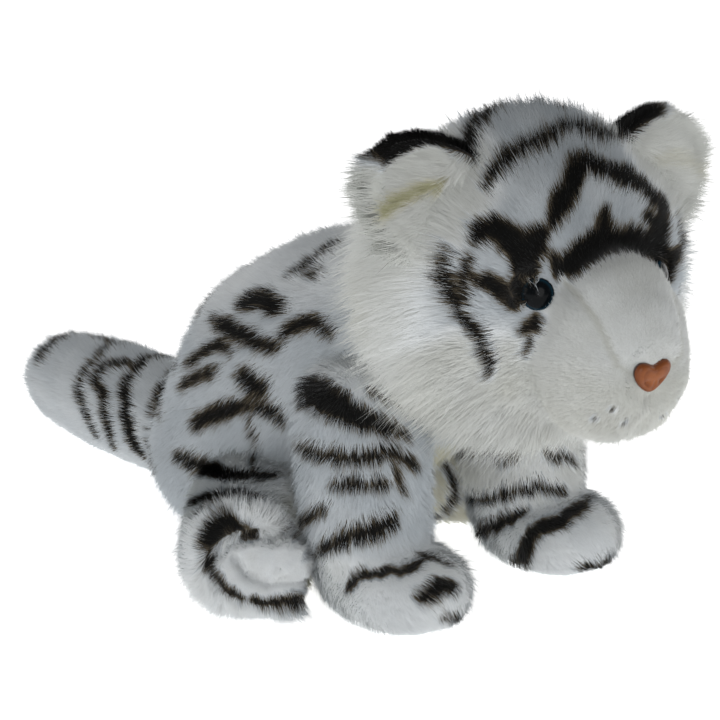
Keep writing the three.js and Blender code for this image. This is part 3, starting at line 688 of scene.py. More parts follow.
eye_rings = [circle(STEM_RADIUS, STEM_FOOT), circle(STEM_RADIUS, STEM_TOP)]
eye_rings.append(circle(EYE_RADIUS * EYE_BACK[0], EYE_BACK[1]))
eye_shares = [1, 1, 1]
for step in np.linspace(0, 1, 16)[:-1]:
    lift = step * math.pi / 2
    eye_rings.append(circle(EYE_RADIUS * math.cos(lift), EYE_RIM + (EYE_DOME - EYE_RIM) * math.sin(lift)))
    eye_shares.append(math.cos(lift))
eye_rings.append(circle(0, EYE_DOME, 1))
eye_shares.append(0)
eye_seats = [
    moulded(f"eye_button_{side}", f"eye_{side}", "head", "eye_plastic", EYE_GLOSS, eye_rings, eye_shares)
    for side in SIDES]

NOSE_HALF = [  # half of the outline, in mm, from the notch at its top to the point at its bottom
    (0, 4.6), (3.4, 6.4), (7.2, 7), (9.8, 5), (10, 1.6), (8.2, -2), (5.2, -5.4), (2.4, -7.6), (0, -8.4)]
NOSE_RIM = 0.9 * MM
NOSE_ROUNDING, NOSE_DOMING = 0.8, 0.7  # powers: the lower, the fuller
NOSTRIL = np.array((4, -2.2)) * MM
NOSTRIL_REACH, NOSTRIL_DEPTH = 1.6 * MM, 1.4 * MM
NOSTRIL_SHADE = 0.2  # share of the nose's tones: painted shade on the rings with the nostril dents
NOSE_GROOVE_WIDTH, NOSE_GROOVE_DEPTH, NOSE_GROOVE_FROM = 0.9 * MM, 0.7 * MM, (1 * MM, -3 * MM)
NOSE_WELL_IN = 0.95, 0.6  # shares of its size
NOSE_EDGE_ROUNDS = 4


def nose_rings(count=64):
    """A heart-shaped button, domed, with two nostril dents and a groove between them."""
    outline = np.array(NOSE_HALF + [(-x, y) for x, y in NOSE_HALF[-2:0:-1]], float) * MM
    closed = np.vstack([outline, outline[:1]])
    reach = np.concatenate([[0], np.cumsum(np.linalg.norm(np.diff(closed, axis=0), axis=1))])
    spots = np.linspace(0, reach[-1], count, endpoint=False)
    edge = np.stack([np.interp(spots, reach, closed[:, k]) for k in (0, 1)], -1)
    for _ in range(NOSE_EDGE_ROUNDS):
        edge = (np.roll(edge, 1, 0) + 2 * edge + np.roll(edge, -1, 0)) / 4
    turned = np.roll(np.arange(count), count // 4)
    rings = [circle(STEM_RADIUS, height, count)[::-1][turned] for height in (STEM_FOOT, STEM_TOP)]
    shares = [1, 1]
    for size, height in (NOSE_BACK, (1.0, NOSE_RIM)):
        rings.append(np.column_stack([edge * size, np.full(count, height)]))
        shares.append(1)
    for step in np.linspace(0, 1, 20)[1:-1]:
        size = math.cos(step * math.pi / 2) ** NOSE_ROUNDING
        flat = edge * size
        height = NOSE_RIM + (NOSE_DEPTH - NOSE_RIM) * math.sin(step * math.pi / 2) ** NOSE_DOMING
        well_in = float(ease(*NOSE_WELL_IN, size))
        away = [((flat - NOSTRIL * (way, 1)) ** 2).sum(1) for way in (1, -1)]
        dents = well_in * sum(np.exp(-gap / NOSTRIL_REACH ** 2) for gap in away)
        groove = well_in * np.exp(-(flat[:, 0] / NOSE_GROOVE_WIDTH) ** 2)
        groove = groove * ease(*NOSE_GROOVE_FROM, flat[:, 1])
        rings.append(np.column_stack([flat, height - NOSTRIL_DEPTH * dents - NOSE_GROOVE_DEPTH * groove]))
        # Rings that pass the nostril dents are darker, a painted shade
        shares.append((1 - NOSTRIL_SHADE) * size + NOSTRIL_SHADE * float(dents.max() > 0.5))
    rings.append(np.array([(0, 0, NOSE_DEPTH)]))
    shares.append(0)
    return rings, shares


nose_seat = moulded("nose_button", "nose", "head", "nose_plastic", NOSE_GLOSS, *nose_rings())
for node in ("nose_washer", "eye_washer_left", "eye_washer_right"):
    frame["nodes"][node].data.materials.clear()
    frame["nodes"][node].data.materials.append(WASHER)


# Bands read from the photograph
# Each band: its width in pixels, at its start and its end, then the pixels that its middle line passes.
BANDS = {
    "torso": {
        "saddle": (15, 15, (237, 302), (260, 296), (278, 310)),
        "upper_flank": (13, 10, (210, 317), (227, 329), (255, 342), (276, 350)),
        "upper_haunch": (10, 8, (182, 365), (202, 350), (215, 345), (230, 352)),
        "haunch": (10, 8, (177, 387), (195, 377), (214, 369)),
        "flank_dash": (13, 15, (236, 375), (247, 382), (260, 390)),
        "flank_drop": (2, 2, (247, 392), (248, 420), (254, 455), (258, 476)),
        "mid_haunch": (13, 11, (190, 427), (210, 416), (242, 405)),
        "mid_flank": (10, 10, (252, 407), (267, 412), (282, 424)),
        "lower_flank": (14, 11, (172, 454), (197, 467), (230, 472), (252, 472), (282, 472)),
        "low_rump": (8, 7, (180, 504), (197, 499), (222, 490), (242, 491), (265, 495)),
        "back_line": (8, 7, (285, 275), (310, 257), (340, 237)),
        "back_dash": (6, 5, (305, 275), (320, 267)),
        "shoulder_arc": (9, 8, (280, 337), (290, 327), (307, 320), (322, 327), (330, 337)),
    },
    "foreleg_right": {
        "upper_wedge": (38, 9, (290, 382), (305, 391), (330, 405), (360, 420), (410, 437)),
        "upper_line": (4, 4, (367, 390), (385, 400), (405, 405)),
        "elbow": (11, 9, (292, 444), (310, 455), (347, 461), (380, 458), (400, 449)),
        "elbow_fork": (8, 10, (397, 455), (410, 462), (422, 470)),
        "forearm": (9, 11, (330, 489), (360, 487), (392, 487)),
        "forearm_drop": (4, 4, (397, 470), (406, 495)),
        "back_dash": (10, 8, (295, 525), (310, 517), (325, 510)),
        "wrist": (12, 18, (312, 557), (340, 542), (360, 537), (385, 530), (400, 517)),
        "paw_top": (8, 8, (342, 592), (360, 575), (385, 570), (417, 567), (430, 550)),
        "paw_fork": (6, 7, (422, 552), (440, 555), (455, 565)),
        "paw_patch": (16, 16, (425, 602), (440, 587), (460, 590)),
        "paw_low": (6, 6, (442, 620), (465, 619)),
    },
    "hind_leg_right": {
        "foot_edge": (24, 15, (226, 516), (210, 533), (205, 550)),
        "foot_under": (11, 6, (205, 552), (211, 574), (226, 592), (244, 600)),
        "foot_below": (7, 13, (250, 601), (280, 606), (311, 602)),
        "foot_branch": (13, 8, (222, 520), (238, 527), (256, 534)),
        "foot_top": (5, 4, (192, 512), (222, 495), (260, 492)),
    },
    "tail": {
        "tip": (9, 7, (36, 360), (45, 345), (64, 332)),
        "second": (6, 6, (96, 356), (82, 370), (75, 387), (82, 410), (96, 440)),
        "third": (7, 8, (142, 360), (107, 361), (92, 377), (95, 385), (102, 395), (104, 422), (112, 450)),
        "fourth": (10, 11, (132, 370), (122, 387), (124, 417), (130, 442), (142, 457)),
        "root": (9, 9, (170, 375), (162, 392), (161, 415), (165, 445)),
        "root_dash": (6, 6, (145, 440), (162, 465)),
        "top_dash": (6, 5, (92, 332), (120, 342)),
    },
    "head": {
        "brow": (22, 25, (560, 272), (580, 255), (600, 240), (640, 240), (675, 255)),
        "brow_peak": (14, 8, (605, 235), (607, 205)),
        "forehead": (15, 24, (551, 226), (558, 205), (572, 182), (582, 157), (605, 165), (635, 175),
                     (652, 187), (667, 212)),
        "crown": (13, 14, (482, 185), (492, 170), (510, 152), (542, 137), (572, 122), (600, 130), (627, 134)),
        "ear_root": (15, 16, (462, 155), (472, 132), (482, 117), (500, 107)),
        "crown_line": (6, 5, (515, 97), (545, 100), (570, 107)),
        "eye_tail": (17, 22, (470, 240), (480, 228), (496, 226), (510, 238), (522, 255), (532, 274)),
        "eye_peak": (24, 16, (526, 256), (532, 242), (540, 229)),
        "eye_spot": (9, 9, (553, 254), (556, 264)),
        "cheek": (13, 9, (442, 247), (438, 268), (446, 292), (458, 314), (470, 328), (480, 346), (487, 362),
                  (486, 378)),
        "cheek_inner": (8, 7, (466, 256), (463, 276), (462, 300)),
        "under_eye": (11, 12, (472, 280), (486, 280), (498, 288), (508, 300), (515, 308)),
        "eye_corner": (13, 11, (512, 282), (521, 293), (528, 302)),
        "muzzle_edge": (11, 7, (538, 319), (530, 327), (518, 333)),
        "muzzle_drop": (5, 3, (531, 328), (528, 342), (524, 356)),
    },
    "foreleg_left": {
        "upper": (8, 7, (450, 456), (488, 452), (535, 450)),
        "upper_dash": (6, 5, (496, 465), (518, 458)),
        "upper_far": (8, 8, (546, 452), (560, 460), (578, 462)),
        "far_drop": (6, 6, (586, 448), (592, 464), (588, 478)),
        "forearm": (8, 10, (462, 504), (490, 502), (512, 494), (540, 489), (566, 493)),
        "wrist": (14, 6, (470, 538), (490, 530), (512, 518), (528, 509)),
        "paw": (14, 16, (508, 574), (524, 562), (528, 542), (540, 528), (564, 520), (580, 508), (592, 496)),
        "paw_tip": (12, 10, (580, 570), (600, 568), (614, 562)),
    },
    "hind_leg_left": {
        "arc": (8, 7, (422, 524), (440, 518), (454, 504), (454, 480), (446, 462)),
    },
}
EAR_CREASE_SHADE = ((379, 217), (388, 209), (398, 200), (410, 193), (424, 189), (438, 188))  # pixels of the painted shade along the fold in the right ear's cup
# Tone of that painted shade, its share on the left ear, and its reach
CREASE_SHADE_TONE, LEFT_CREASE_SHADE_SHARE, CREASE_SHADE_REACH = 0.01, 0.3, (5 * MM, 0.5 * MM)
WHISKER_DOTS = ((597, 416), (613, 407), (627, 418))  # pixels
SEAM_SHADE_LINE, WHISKER_DOT = 1.2 * MM, 1.1 * MM  # half widths of the painted shade along the muzzle's seam, and of a whisker dot
LINE_FADE_OUT, LINE_FADE_IN = 0.8 * MM, 0.6 * MM
# Bands that the photograph shows on one side of the face only
FACE_PAIRS = ("eye_tail", "eye_peak", "eye_spot", "cheek", "cheek_inner", "under_eye", "eye_corner",
              "muzzle_edge", "muzzle_drop")
# Guessed bands where the photograph doesn't show the toy: widths, then places across and up, in mm,
# from behind. The head's are from the head's middle.
BACK_BANDS = {
    "torso": {
        "withers": (4, 6, (-15, 150), (0, 155)),
        "saddle_top": (4, 6, (-17, 138), (0, 143)),
        "upper": (6, 4, (-46, 120), (-28, 128), (-9, 131)),
        "middle": (7, 5, (-54, 92), (-32, 101), (-10, 105)),
        "lower": (7, 5, (-58, 66), (-36, 75), (-13, 79)),
        "rump": (6, 5, (-60, 38), (-46, 44), (-32, 47)),
    },
    "head": {
        "nape_upper": (7, 5, (-34, 46), (-18, 53), (0, 55)),
        "nape": (6, 4, (-44, 20), (-26, 29), (-8, 31)),
    },
}
# Pieces that another piece's bands cross onto
CARRIED_ON = {"torso": ("hind_leg_right",), "hind_leg_right": ("sole_right", "torso")}
DYED = ("torso", "head", "tail", "foreleg_left", "foreleg_right", "hind_leg_left", "hind_leg_right",
        "sole_left", "sole_right")
BAND_FADE_OUT, BAND_FADE_IN = 2.2 * MM, 1.8 * MM  # from a band's edge to plain pile, and to black
HEAD_FADE = 1.3  # times as much on the head
BAND_END, BAND_TAPER = 0.35, 5  # width of a band's tip as a share of the band's, and gain in its length
BEHIND_STEPS, BEHIND_FACING = 12, 0.1  # points between two places, and the least that faces back
TAIL_RING_SHARES = 0.8, 0.6  # widths over the top of the tail, as shares of the ring's
RING_STEPS, RING_BACK, RING_FACING = 16, 5 * MM, 0.15  # points, way back to the tip, and least that faces up
VIEW_EDGE, GUESS_HIDE = (-0.12, 0.12), 30 * MM  # a mirrored band gives way where the photograph sees the toy
EDGE_WAVES = ((0.9 * MM, 7 * MM, 3), (0.5 * MM, 3 * MM, 4))  # height, size and seed, along a band's edge


def traced_behind(skin, on_head, places):
    """Points on a skin's pile that are seen from behind at the places of a line."""
    line = np.array(places, float) * MM
    line = np.vstack([mix(a, b, t) for a, b in zip(line, line[1:]) for t in np.linspace(0, 1, BEHIND_STEPS)])
    tips, normals = skin.tips(), skin.normals
    if on_head:
        tips, normals = in_head(tips), normals @ HEAD_AXES
    shown = np.nonzero((normals[:, 1] > BEHIND_FACING) & (skin.cover > 0))[0]
    gap = np.linalg.norm(tips[shown][None][..., (0, 2)] - line[:, None], axis=-1)
    return skin.tips()[shown[gap.argmin(1)]]


def over_top(skin, spots):
    """Points of a skin's pile from a band's highest point up to the middle line of the top."""
    start = spots[spots[:, 2].argmax()]
    line = np.linspace(start[:2], (0, start[1] + RING_BACK), RING_STEPS)
    shown = skin.tips()[skin.normals[:, 2] > RING_FACING]
    return shown[np.linalg.norm(shown[None, :, :2] - line[:, None], axis=-1).argmin(1)]


def reach_into(skin, centres, halves):
    """How far inside a band each point of the pile lies, from the band's middle points and half widths."""
    tips, best = skin.tips(), np.full(len(skin.points), -1.0)
    for centre, half in zip(centres, halves):
        best = np.maximum(best, half - np.linalg.norm(tips - centre, axis=1))
    return best


def dye(skins):
    """Dyes the bands on every skin, and their mirrored twins where the photograph can't see."""
    centres, halves, on_head, paired = [], [], [], []

    def take(spots, first, last, head, pair):
        place = np.linspace(0, 1, len(spots))
        taper = np.minimum(1, BAND_END + BAND_TAPER * np.minimum(place, 1 - place))
        centres.append(spots)
        halves.append(mix(first, last, place) * taper / 2)
        on_head.append(np.full(len(spots), head))
        paired.append(np.full(len(spots), pair))

    for name, bands in BANDS.items():
        shared = [skins[part] for part in (name, *CARRIED_ON.get(name, ()))]
        full = BAND_FULLNESS.get(name, LEG_BAND_FULLNESS) * PIXEL
        for band, (first, last, *pixels) in bands.items():
            spots = traced(shared, pixels)
            take(spots, first * full, last * full, name == "head", band in FACE_PAIRS)
            if name == "tail" and band != "top_dash":
                start, end = (share * first * full for share in TAIL_RING_SHARES)
                take(over_top(skins[name], spots), start, end, False, True)
    for name, bands in BACK_BANDS.items():
        for first, last, *places in bands.values():
            spots = traced_behind(skins[name], name == "head", places)
            take(spots, first * MM, last * MM, name == "head", True)
    centres, halves, on_head, paired = map(np.concatenate, (centres, halves, on_head, paired))
    for name in DYED:
        skin = skins[name]
        head = name == "head"
        mine = on_head == head
        twin, guess = mine & paired, mine & ~paired
        seen = reach_into(skin, centres[mine], halves[mine])
        twins = reach_into(skin, mirrored(centres[twin], head), halves[twin])
        guessed = reach_into(skin, mirrored(centres[guess], head), halves[guess])
        toward = (unit(LENS_POINT - skin.points) * skin.normals).sum(1)
        inside = np.maximum(np.maximum(seen, twins), guessed - GUESS_HIDE * ease(*VIEW_EDGE, toward))
        tips = skin.tips()
        for height, size, seed in EDGE_WAVES:
            inside = inside + height * ripple(tips, size, seed)
        soft = HEAD_FADE if head else 1
        skin.tone = mix(skin.tone, BLACK, ease(-BAND_FADE_OUT * soft, BAND_FADE_IN * soft, inside))


# How the pile lies on each piece
PILE_LENGTHS = {  # mm
    "torso": 9, "chest_more": 3, "rump_less": 2, "belly": 9,
    "face": 7, "temple": 9, "crown": 14.5, "ruff": 29, "beard": 33, "muzzle": 3.6, "chin": 5.5,
    "foreleg": 9.5, "paw": 7.5, "hind_leg": 8.5, "foot_rim": 10, "sole": 3.2,
    "tail": 6.5, "tail_tip": 8.5, "tail_under": 4.5,
    "ear": 15, "ear_hang": 20, "ear_rim": 7, "ear_back": 4, "ear_back_top": 6.5,
}

RUFF_TONE = EAR_TONE = WARM_WHITE + 0.02
EAR_FOOT_TONE = WARM_WHITE + 0.03
MUZZLE_TONE = WARM_WHITE + 0.05
INNER_LEG_TONE = CREAM + 0.02
# The left foreleg's warmer white is a painted warm reflection on its shaded side; the right's cool white is
# partly painted shade
FORELEG_PAINTED_LIGHT_TONES = {1: mix(WARM_WHITE, WHITE, 0.45), -1: COOL_SHADED_WHITE}
TAIL_TONE = mix(COOL_SHADED_WHITE, WHITE, 0.35)
BACK_PAINTED_LIGHT = 0.07  # tones of painted light on the torso's upward-facing top

LEANS = {  # how far the pile lies over: 0 stands up
    "torso": 0.74, "belly": 0.8, "head": 0.95, "crest": 0.6, "lid": 0.8, "muzzle": 0.85, "foreleg": 0.85,
    "hind_leg": 0.8, "sole": 0.4, "sole_edge": 0.7, "tail": 0.76, "ear": 0.8, "ear_back": 0.75,
}

# Ways that the pile runs
DOWN_FLANK, ALONG_SPINE = np.array((0, 0.45, -1.0)), np.array((0, 1.0, -0.2))
DOWN_BELLY = 0, 0.1, -1
DOWN_RUFF = np.array((0, 0.1, -0.75))
DOWN_LEG, OVER_PAW = np.array((0, -0.1, -1.0)), np.array((0, -1.0, -0.55))
TO_FOOT, DOWN_SOLE = np.array((0, -0.8, -0.55)), np.array((0, -0.2, -1.0))
TO_TAIL_TIP = 0, 1, 0.05

# Where one lay turns into the next, from and to: shares of facing a way, then places
# The second pair: where the painted light on the torso's top starts and is full, as shares of facing up
SPINE_FACING, LIT_BACK_FACING = (0.35, 0.8), (0.3, 0.8)
UPPER_FACING, INNER_FACING = (-0.5, 0.4), (0.1, 0.6)
PRESSED_FACING, TAIL_PRESSED_FACING, PRESSED_HEIGHT = (0.55, 0.85), (0.6, 0.9), (8 * MM, 4 * MM)
SEAT_BARE, SEAT_ROUND = (1 * MM, 4 * MM), 3 * MM
CHEST_FROM, RUMP_FROM = (-105 * MM, -130 * MM), (30 * MM, 55 * MM)
# The second pair: where painted light on the top of each foreleg, in the ruff's shade, starts and is full
PAW_BELOW, SHOULDER_PAINTED_LIGHT_ABOVE = (52 * MM, 34 * MM), (95 * MM, 120 * MM)
FOOT_RIM, CUSHION_EDGE = (-20 * MM, -6 * MM), (1.0, 1.3)
CUSHION_AHEAD, RIM_OUT, RIM_SPREAD = 8 * MM, 0.8, 0.7  # how the pile fans out round a foot's cushion
TAIL_TIP_FROM = 90 * MM, 150 * MM

# The same on the head, in degrees from straight ahead and above level, then in its own frame
RUFF_AHEAD, RUFF_RISE = (58, 80), (44, 16)
CREST_AHEAD, CREST_RISE = (70, 100), (20, 50)
CROWN_AHEAD, CROWN_RISE = (40, 75), (42, 66)
TEMPLE_AHEAD, BEARD_RISE, WARM_RISE = (34, 62), (0, -35), (-2, -20)
EAR_FOOT_BESIDE = 42 * MM, 28 * MM
LID_WAY = np.array((1, 0.2, 0.55))  # from the left eye to its lid
LID_SIDE, LID_REACH = (-0.1, 0.5), (15 * MM, 9 * MM)
EYE_BARE, EYE_SHORT = (5 * MM, 6.4 * MM), (7 * MM, 18 * MM)
NOSE_BARE, NOSE_SHORT = (6 * MM, 8 * MM), (8 * MM, 14 * MM)
EYE_PILE, LID_PILE, NOSE_PILE = 0.5, 0.95, 0.5  # shares of the pile's length right beside them
NOSE_STRETCH = 1, 1, 1.2  # the place without pile is wider than it is tall
MUZZLE_EDGE, MUZZLE_FRONT = (-1.5 * MM, 1.5 * MM), (-4 * MM, 22 * MM)  # past the muzzle's seam
MUZZLE_LIE, MUZZLE_DYE = (-6 * MM, 8 * MM), (-5 * MM, 5 * MM)
# The second pair: where the painted shade under the muzzle starts and is full
CHIN_BELOW, CHIN_SHADE_BELOW = (-38 * MM, -52 * MM), (-14 * MM, -34 * MM)


def pile_on(place):
    return PILE_LENGTHS[place] * MM


def mottle(s, size, seed, depth=0.02):
    """Uneven tone over a skin, in patches of about a size in mm."""
    return depth * ripple(s.points, size * MM, seed)


def shorten_low(s, height, least=0.4):
    """Shorter pile towards the floor, from a height in mm down."""
    s.pile *= mix(least, 1, ease(0, height * MM, s.points[:, 2]))


def press_bare(s, facing=PRESSED_FACING):
    """No pile where a piece is pressed against the floor."""
    s.cover *= 1 - ease(*facing, -s.normals[:, 2]) * ease(*PRESSED_HEIGHT, s.points[:, 2])


def lay_torso(s):
    """Pile that runs back along the spine and down the flanks, longer on the chest."""
    top = ease(*SPINE_FACING, s.normals[:, 2])[:, None]
    s.lie = along(mix(DOWN_FLANK, ALONG_SPINE, top), s.normals) * LEANS["torso"]
    s.pile[:] = pile_on("torso")
    s.pile += pile_on("chest_more") * ease(*CHEST_FROM, s.points[:, 1])
    s.pile -= pile_on("rump_less") * ease(*RUMP_FROM, s.points[:, 1])
    # The cool white is partly painted shade, and the upward-facing top is lighter with painted light
    s.tone = COOL_SHADED_WHITE + mottle(s, 40, 11) - BACK_PAINTED_LIGHT * ease(*LIT_BACK_FACING, s.normals[:, 2])
    s.cover = ease(*SEAT_BARE, s.points[:, 2] - SEAT_ROUND * s.normals[:, 2])


def lay_belly(s):
    """Cream pile that hangs straight down."""
    s.lie = along(DOWN_BELLY, s.normals) * LEANS["belly"]
    s.pile[:] = pile_on("belly")
    s.tone = CREAM + mottle(s, 20, 12)


def lay_head(s):
    """Pile that runs back from the muzzle into a long ruff. Places are degrees from ahead and above level."""
    place = in_head(s.points)
    way = unit(place)
    ahead = np.degrees(np.arccos(np.clip(-way[:, 1], -1, 1)))
    rise = np.degrees(np.arcsin(np.clip(way[:, 2], -1, 1)))
    s.ruff = ease(*RUFF_AHEAD, ahead) * ease(*RUFF_RISE, rise)
    away = unit(place - MUZZLE_MIDDLE) @ HEAD_AXES.T
    lean = mix(LEANS["head"], LEANS["crest"], ease(*CREST_AHEAD, ahead) * ease(*CREST_RISE, rise))
    s.lie = along(away + DOWN_RUFF * s.ruff[:, None], s.normals) * lean[:, None]
    s.pile = mix(pile_on("face"), pile_on("temple"), ease(*TEMPLE_AHEAD, ahead))
    s.pile = mix(s.pile, pile_on("crown"), ease(*CROWN_RISE, rise) * ease(*CROWN_AHEAD, ahead))
    s.pile = mix(s.pile, mix(pile_on("ruff"), pile_on("beard"), ease(*BEARD_RISE, rise)), s.ruff)
    # Above the eyes the cool white is partly painted shade
    s.tone = mix(COOL_SHADED_WHITE, RUFF_TONE, np.maximum(s.ruff, ease(*WARM_RISE, rise)))
    s.tone += mottle(s, 30, 13)
    for side in SIDES.values():
        foot = np.array((side * math.sin(EAR_LEAN), 0, math.cos(EAR_LEAN))) * EAR_FOOT
        beside = np.linalg.norm(place - foot, axis=1)
        s.tone = mix(s.tone, EAR_FOOT_TONE, ease(*EAR_FOOT_BESIDE, beside))
    lay_muzzle(s)
    for seat in eye_seats:
        away = s.points - seat
        distance = np.linalg.norm(away, axis=1)
        side = np.sign(in_head(seat[None])[0, 0])
        lid = unit(LID_WAY * (side, 1, 1)) @ HEAD_AXES.T
        over = ease(*LID_SIDE, unit(away) @ lid) * ease(*LID_REACH, distance)
        s.lie = mix(s.lie, along(-away, s.normals) * LEANS["lid"], over[:, None])
        s.pile *= mix(mix(EYE_PILE, LID_PILE, over), 1, ease(*EYE_SHORT, distance))
        s.cover *= ease(*EYE_BARE, distance)


def lay_muzzle(s):
    """Short pile on the muzzle, which runs out into the face's."""
    place, past = in_head(s.points), past_seam(s)
    s.muzzle = ease(*MUZZLE_EDGE, past)
    front = ease(*MUZZLE_FRONT, past)
    from_nose = along(unit(s.points - nose_seat), s.normals) * LEANS["muzzle"]
    s.lie = mix(s.lie, from_nose, ease(*MUZZLE_LIE, past)[:, None])
    low = ease(*CHIN_BELOW, place[:, 2])
    s.pile = mix(s.pile, mix(pile_on("muzzle"), pile_on("chin"), low), front)
    # Painted warm shade under the muzzle, darker towards the chin
    warm = CHIN_PAINTED_SHADE * ease(*CHIN_SHADE_BELOW, place[:, 2])
    s.tone = mix(s.tone, MUZZLE_TONE - warm + mottle(s, 25, 14, 0.01), ease(*MUZZLE_DYE, past))
    distance = np.linalg.norm((place - in_head(nose_seat[None])) * NOSE_STRETCH, axis=1)
    s.cover *= ease(*NOSE_BARE, distance)
    s.pile *= mix(NOSE_PILE, 1, ease(*NOSE_SHORT, distance))


def lay_foreleg(s, side):
    """Pile that runs down the leg and forward over the paw."""
    low = ease(*PAW_BELOW, s.points[:, 2])[:, None]
    s.lie = along(mix(DOWN_LEG, OVER_PAW, low), s.normals) * LEANS["foreleg"]
    s.pile = mix(pile_on("foreleg"), pile_on("paw"), low[:, 0])
    shorten_low(s, 14)
    # White on the paw, and painted light on the leg's top where the ruff shades it
    paw_white_and_painted_light = np.maximum(low[:, 0], ease(*SHOULDER_PAINTED_LIGHT_ABOVE, s.points[:, 2]))
    s.tone = mix(FORELEG_PAINTED_LIGHT_TONES[side], WHITE, paw_white_and_painted_light) + mottle(s, 30, 15)
    press_bare(s)


def lay_hind_leg(s, side, sole):
    """Pile that runs forward to the foot and turns out round its cushion."""
    middle, out = pad_frame(sole)
    behind = (s.points - middle) @ out
    inward = unit(middle + out * CUSHION_AHEAD - s.points)
    rim = ease(*FOOT_RIM, behind)
    way = mix(TO_FOOT, out * RIM_OUT - inward * RIM_SPREAD, rim[:, None])
    s.lie = along(way, s.normals) * LEANS["hind_leg"]
    s.pile = mix(pile_on("hind_leg"), pile_on("foot_rim"), rim)
    shorten_low(s, 12)
    inner = ease(*INNER_FACING, -side * s.normals[:, 0])
    s.tone = mix(WHITE, INNER_LEG_TONE, inner) + mottle(s, 30, 16)
    press_bare(s)


def lay_sole(s):
    """Short pile on the cushion, and the foot's long pile round it."""
    edge = ease(*CUSHION_EDGE, np.linalg.norm(cushion_places(s), axis=1))
    middle = pad_frame(s)[0]
    way = mix(DOWN_SOLE, s.points - middle, edge[:, None])
    s.lie = along(way, s.normals) * mix(LEANS["sole"], LEANS["sole_edge"], edge)[:, None]
    s.pile = mix(pile_on("sole"), pile_on("foot_rim"), edge)
    shorten_low(s, 10)
    s.tone = WHITE + mottle(s, 12, 17, 0.015)


def lay_tail(s):
    """Pile that runs out to the tip, short underneath."""
    s.lie = along(TO_TAIL_TIP, s.normals) * LEANS["tail"]
    tip = ease(*TAIL_TIP_FROM, s.points[:, 1])
    upper = mix(pile_on("tail"), pile_on("tail_tip"), tip)
    s.pile = mix(pile_on("tail_under"), upper, ease(*UPPER_FACING, s.normals[:, 2]))
    shorten_low(s, 16, 0.45)
    s.tone = TAIL_TONE + mottle(s, 30, 18)
    press_bare(s, TAIL_PRESSED_FACING)


# The ears' zones: shares of the way to the rim or of facing ahead, and places inwards across an ear or up it
EAR_ROOT = 6 * MM  # height of the straight part
EAR_FAN = 12 * MM  # from the foot down to where its strands fan out from
EAR_RUN = 0.7, 0.5, 0.6  # pulls of the cup's pile to the rim, up, and to the outer edge
EAR_HANG_UP, EAR_BACK_IN = 0.15, 0.3  # pulls of the hanging pile up, and of the back's inwards
EAR_FILL, EAR_FILL_RIM, EAR_FILL_FACING = 8 * MM, (1.05, 0.4), (0.1, 0.5)
LEFT_EAR_BLACK_FROM = 15 * MM  # inwards from the middle of the left ear
EAR_FACING, EAR_RIM_COVER = (-0.4, -0.1), (0.8, 0.9)
EAR_HANG_BELOW = 22 * MM, 2 * MM
EAR_SHORT_RIM, EAR_SHORT_IN = (0.6, 1), (-4 * MM, 10 * MM)
EAR_BLACK_RIM, EAR_BLACK_IN = (0.88, 0.95), (-3 * MM, 4 * MM)
BACK_RIM, BACK_BLACK_FROM = (0.82, 0.98), (-30 * MM, 1 * MM)
BACK_LONG_IN, BACK_BLACK_IN = (-14 * MM, -2 * MM), (-4 * MM, 4 * MM)
LEFT_WHITE_RIM, LEFT_WHITE_IN = (0.85, 0.98), (20 * MM, 8 * MM)


def ear_places(s, side):
    """The ways up an ear and in across it, with each point's places along them and towards its rim."""
    up = np.array((side * math.sin(EAR_LEAN), 0, math.cos(EAR_LEAN)))
    inner = np.array((-side * math.cos(EAR_LEAN), 0, math.sin(EAR_LEAN)))
    place = in_head(s.points)
    high, wide = place @ up - EAR_FOOT, place @ inner
    rim = np.hypot(wide / EAR_HALF_WIDTH, np.maximum(high - EAR_ROOT, 0) / (EAR_HEIGHT - EAR_ROOT))
    return up, inner, high, wide, rim


def fill_ear(s, side):
    """Fills an ear's cup from the front."""
    rim = ear_places(s, side)[-1]
    ahead = HEAD_AXES @ np.array((0, -1, 0))
    fill = EAR_FILL * ease(*EAR_FILL_RIM, rim) * ease(*EAR_FILL_FACING, s.normals @ ahead)
    s.shift(np.outer(fill, ahead))


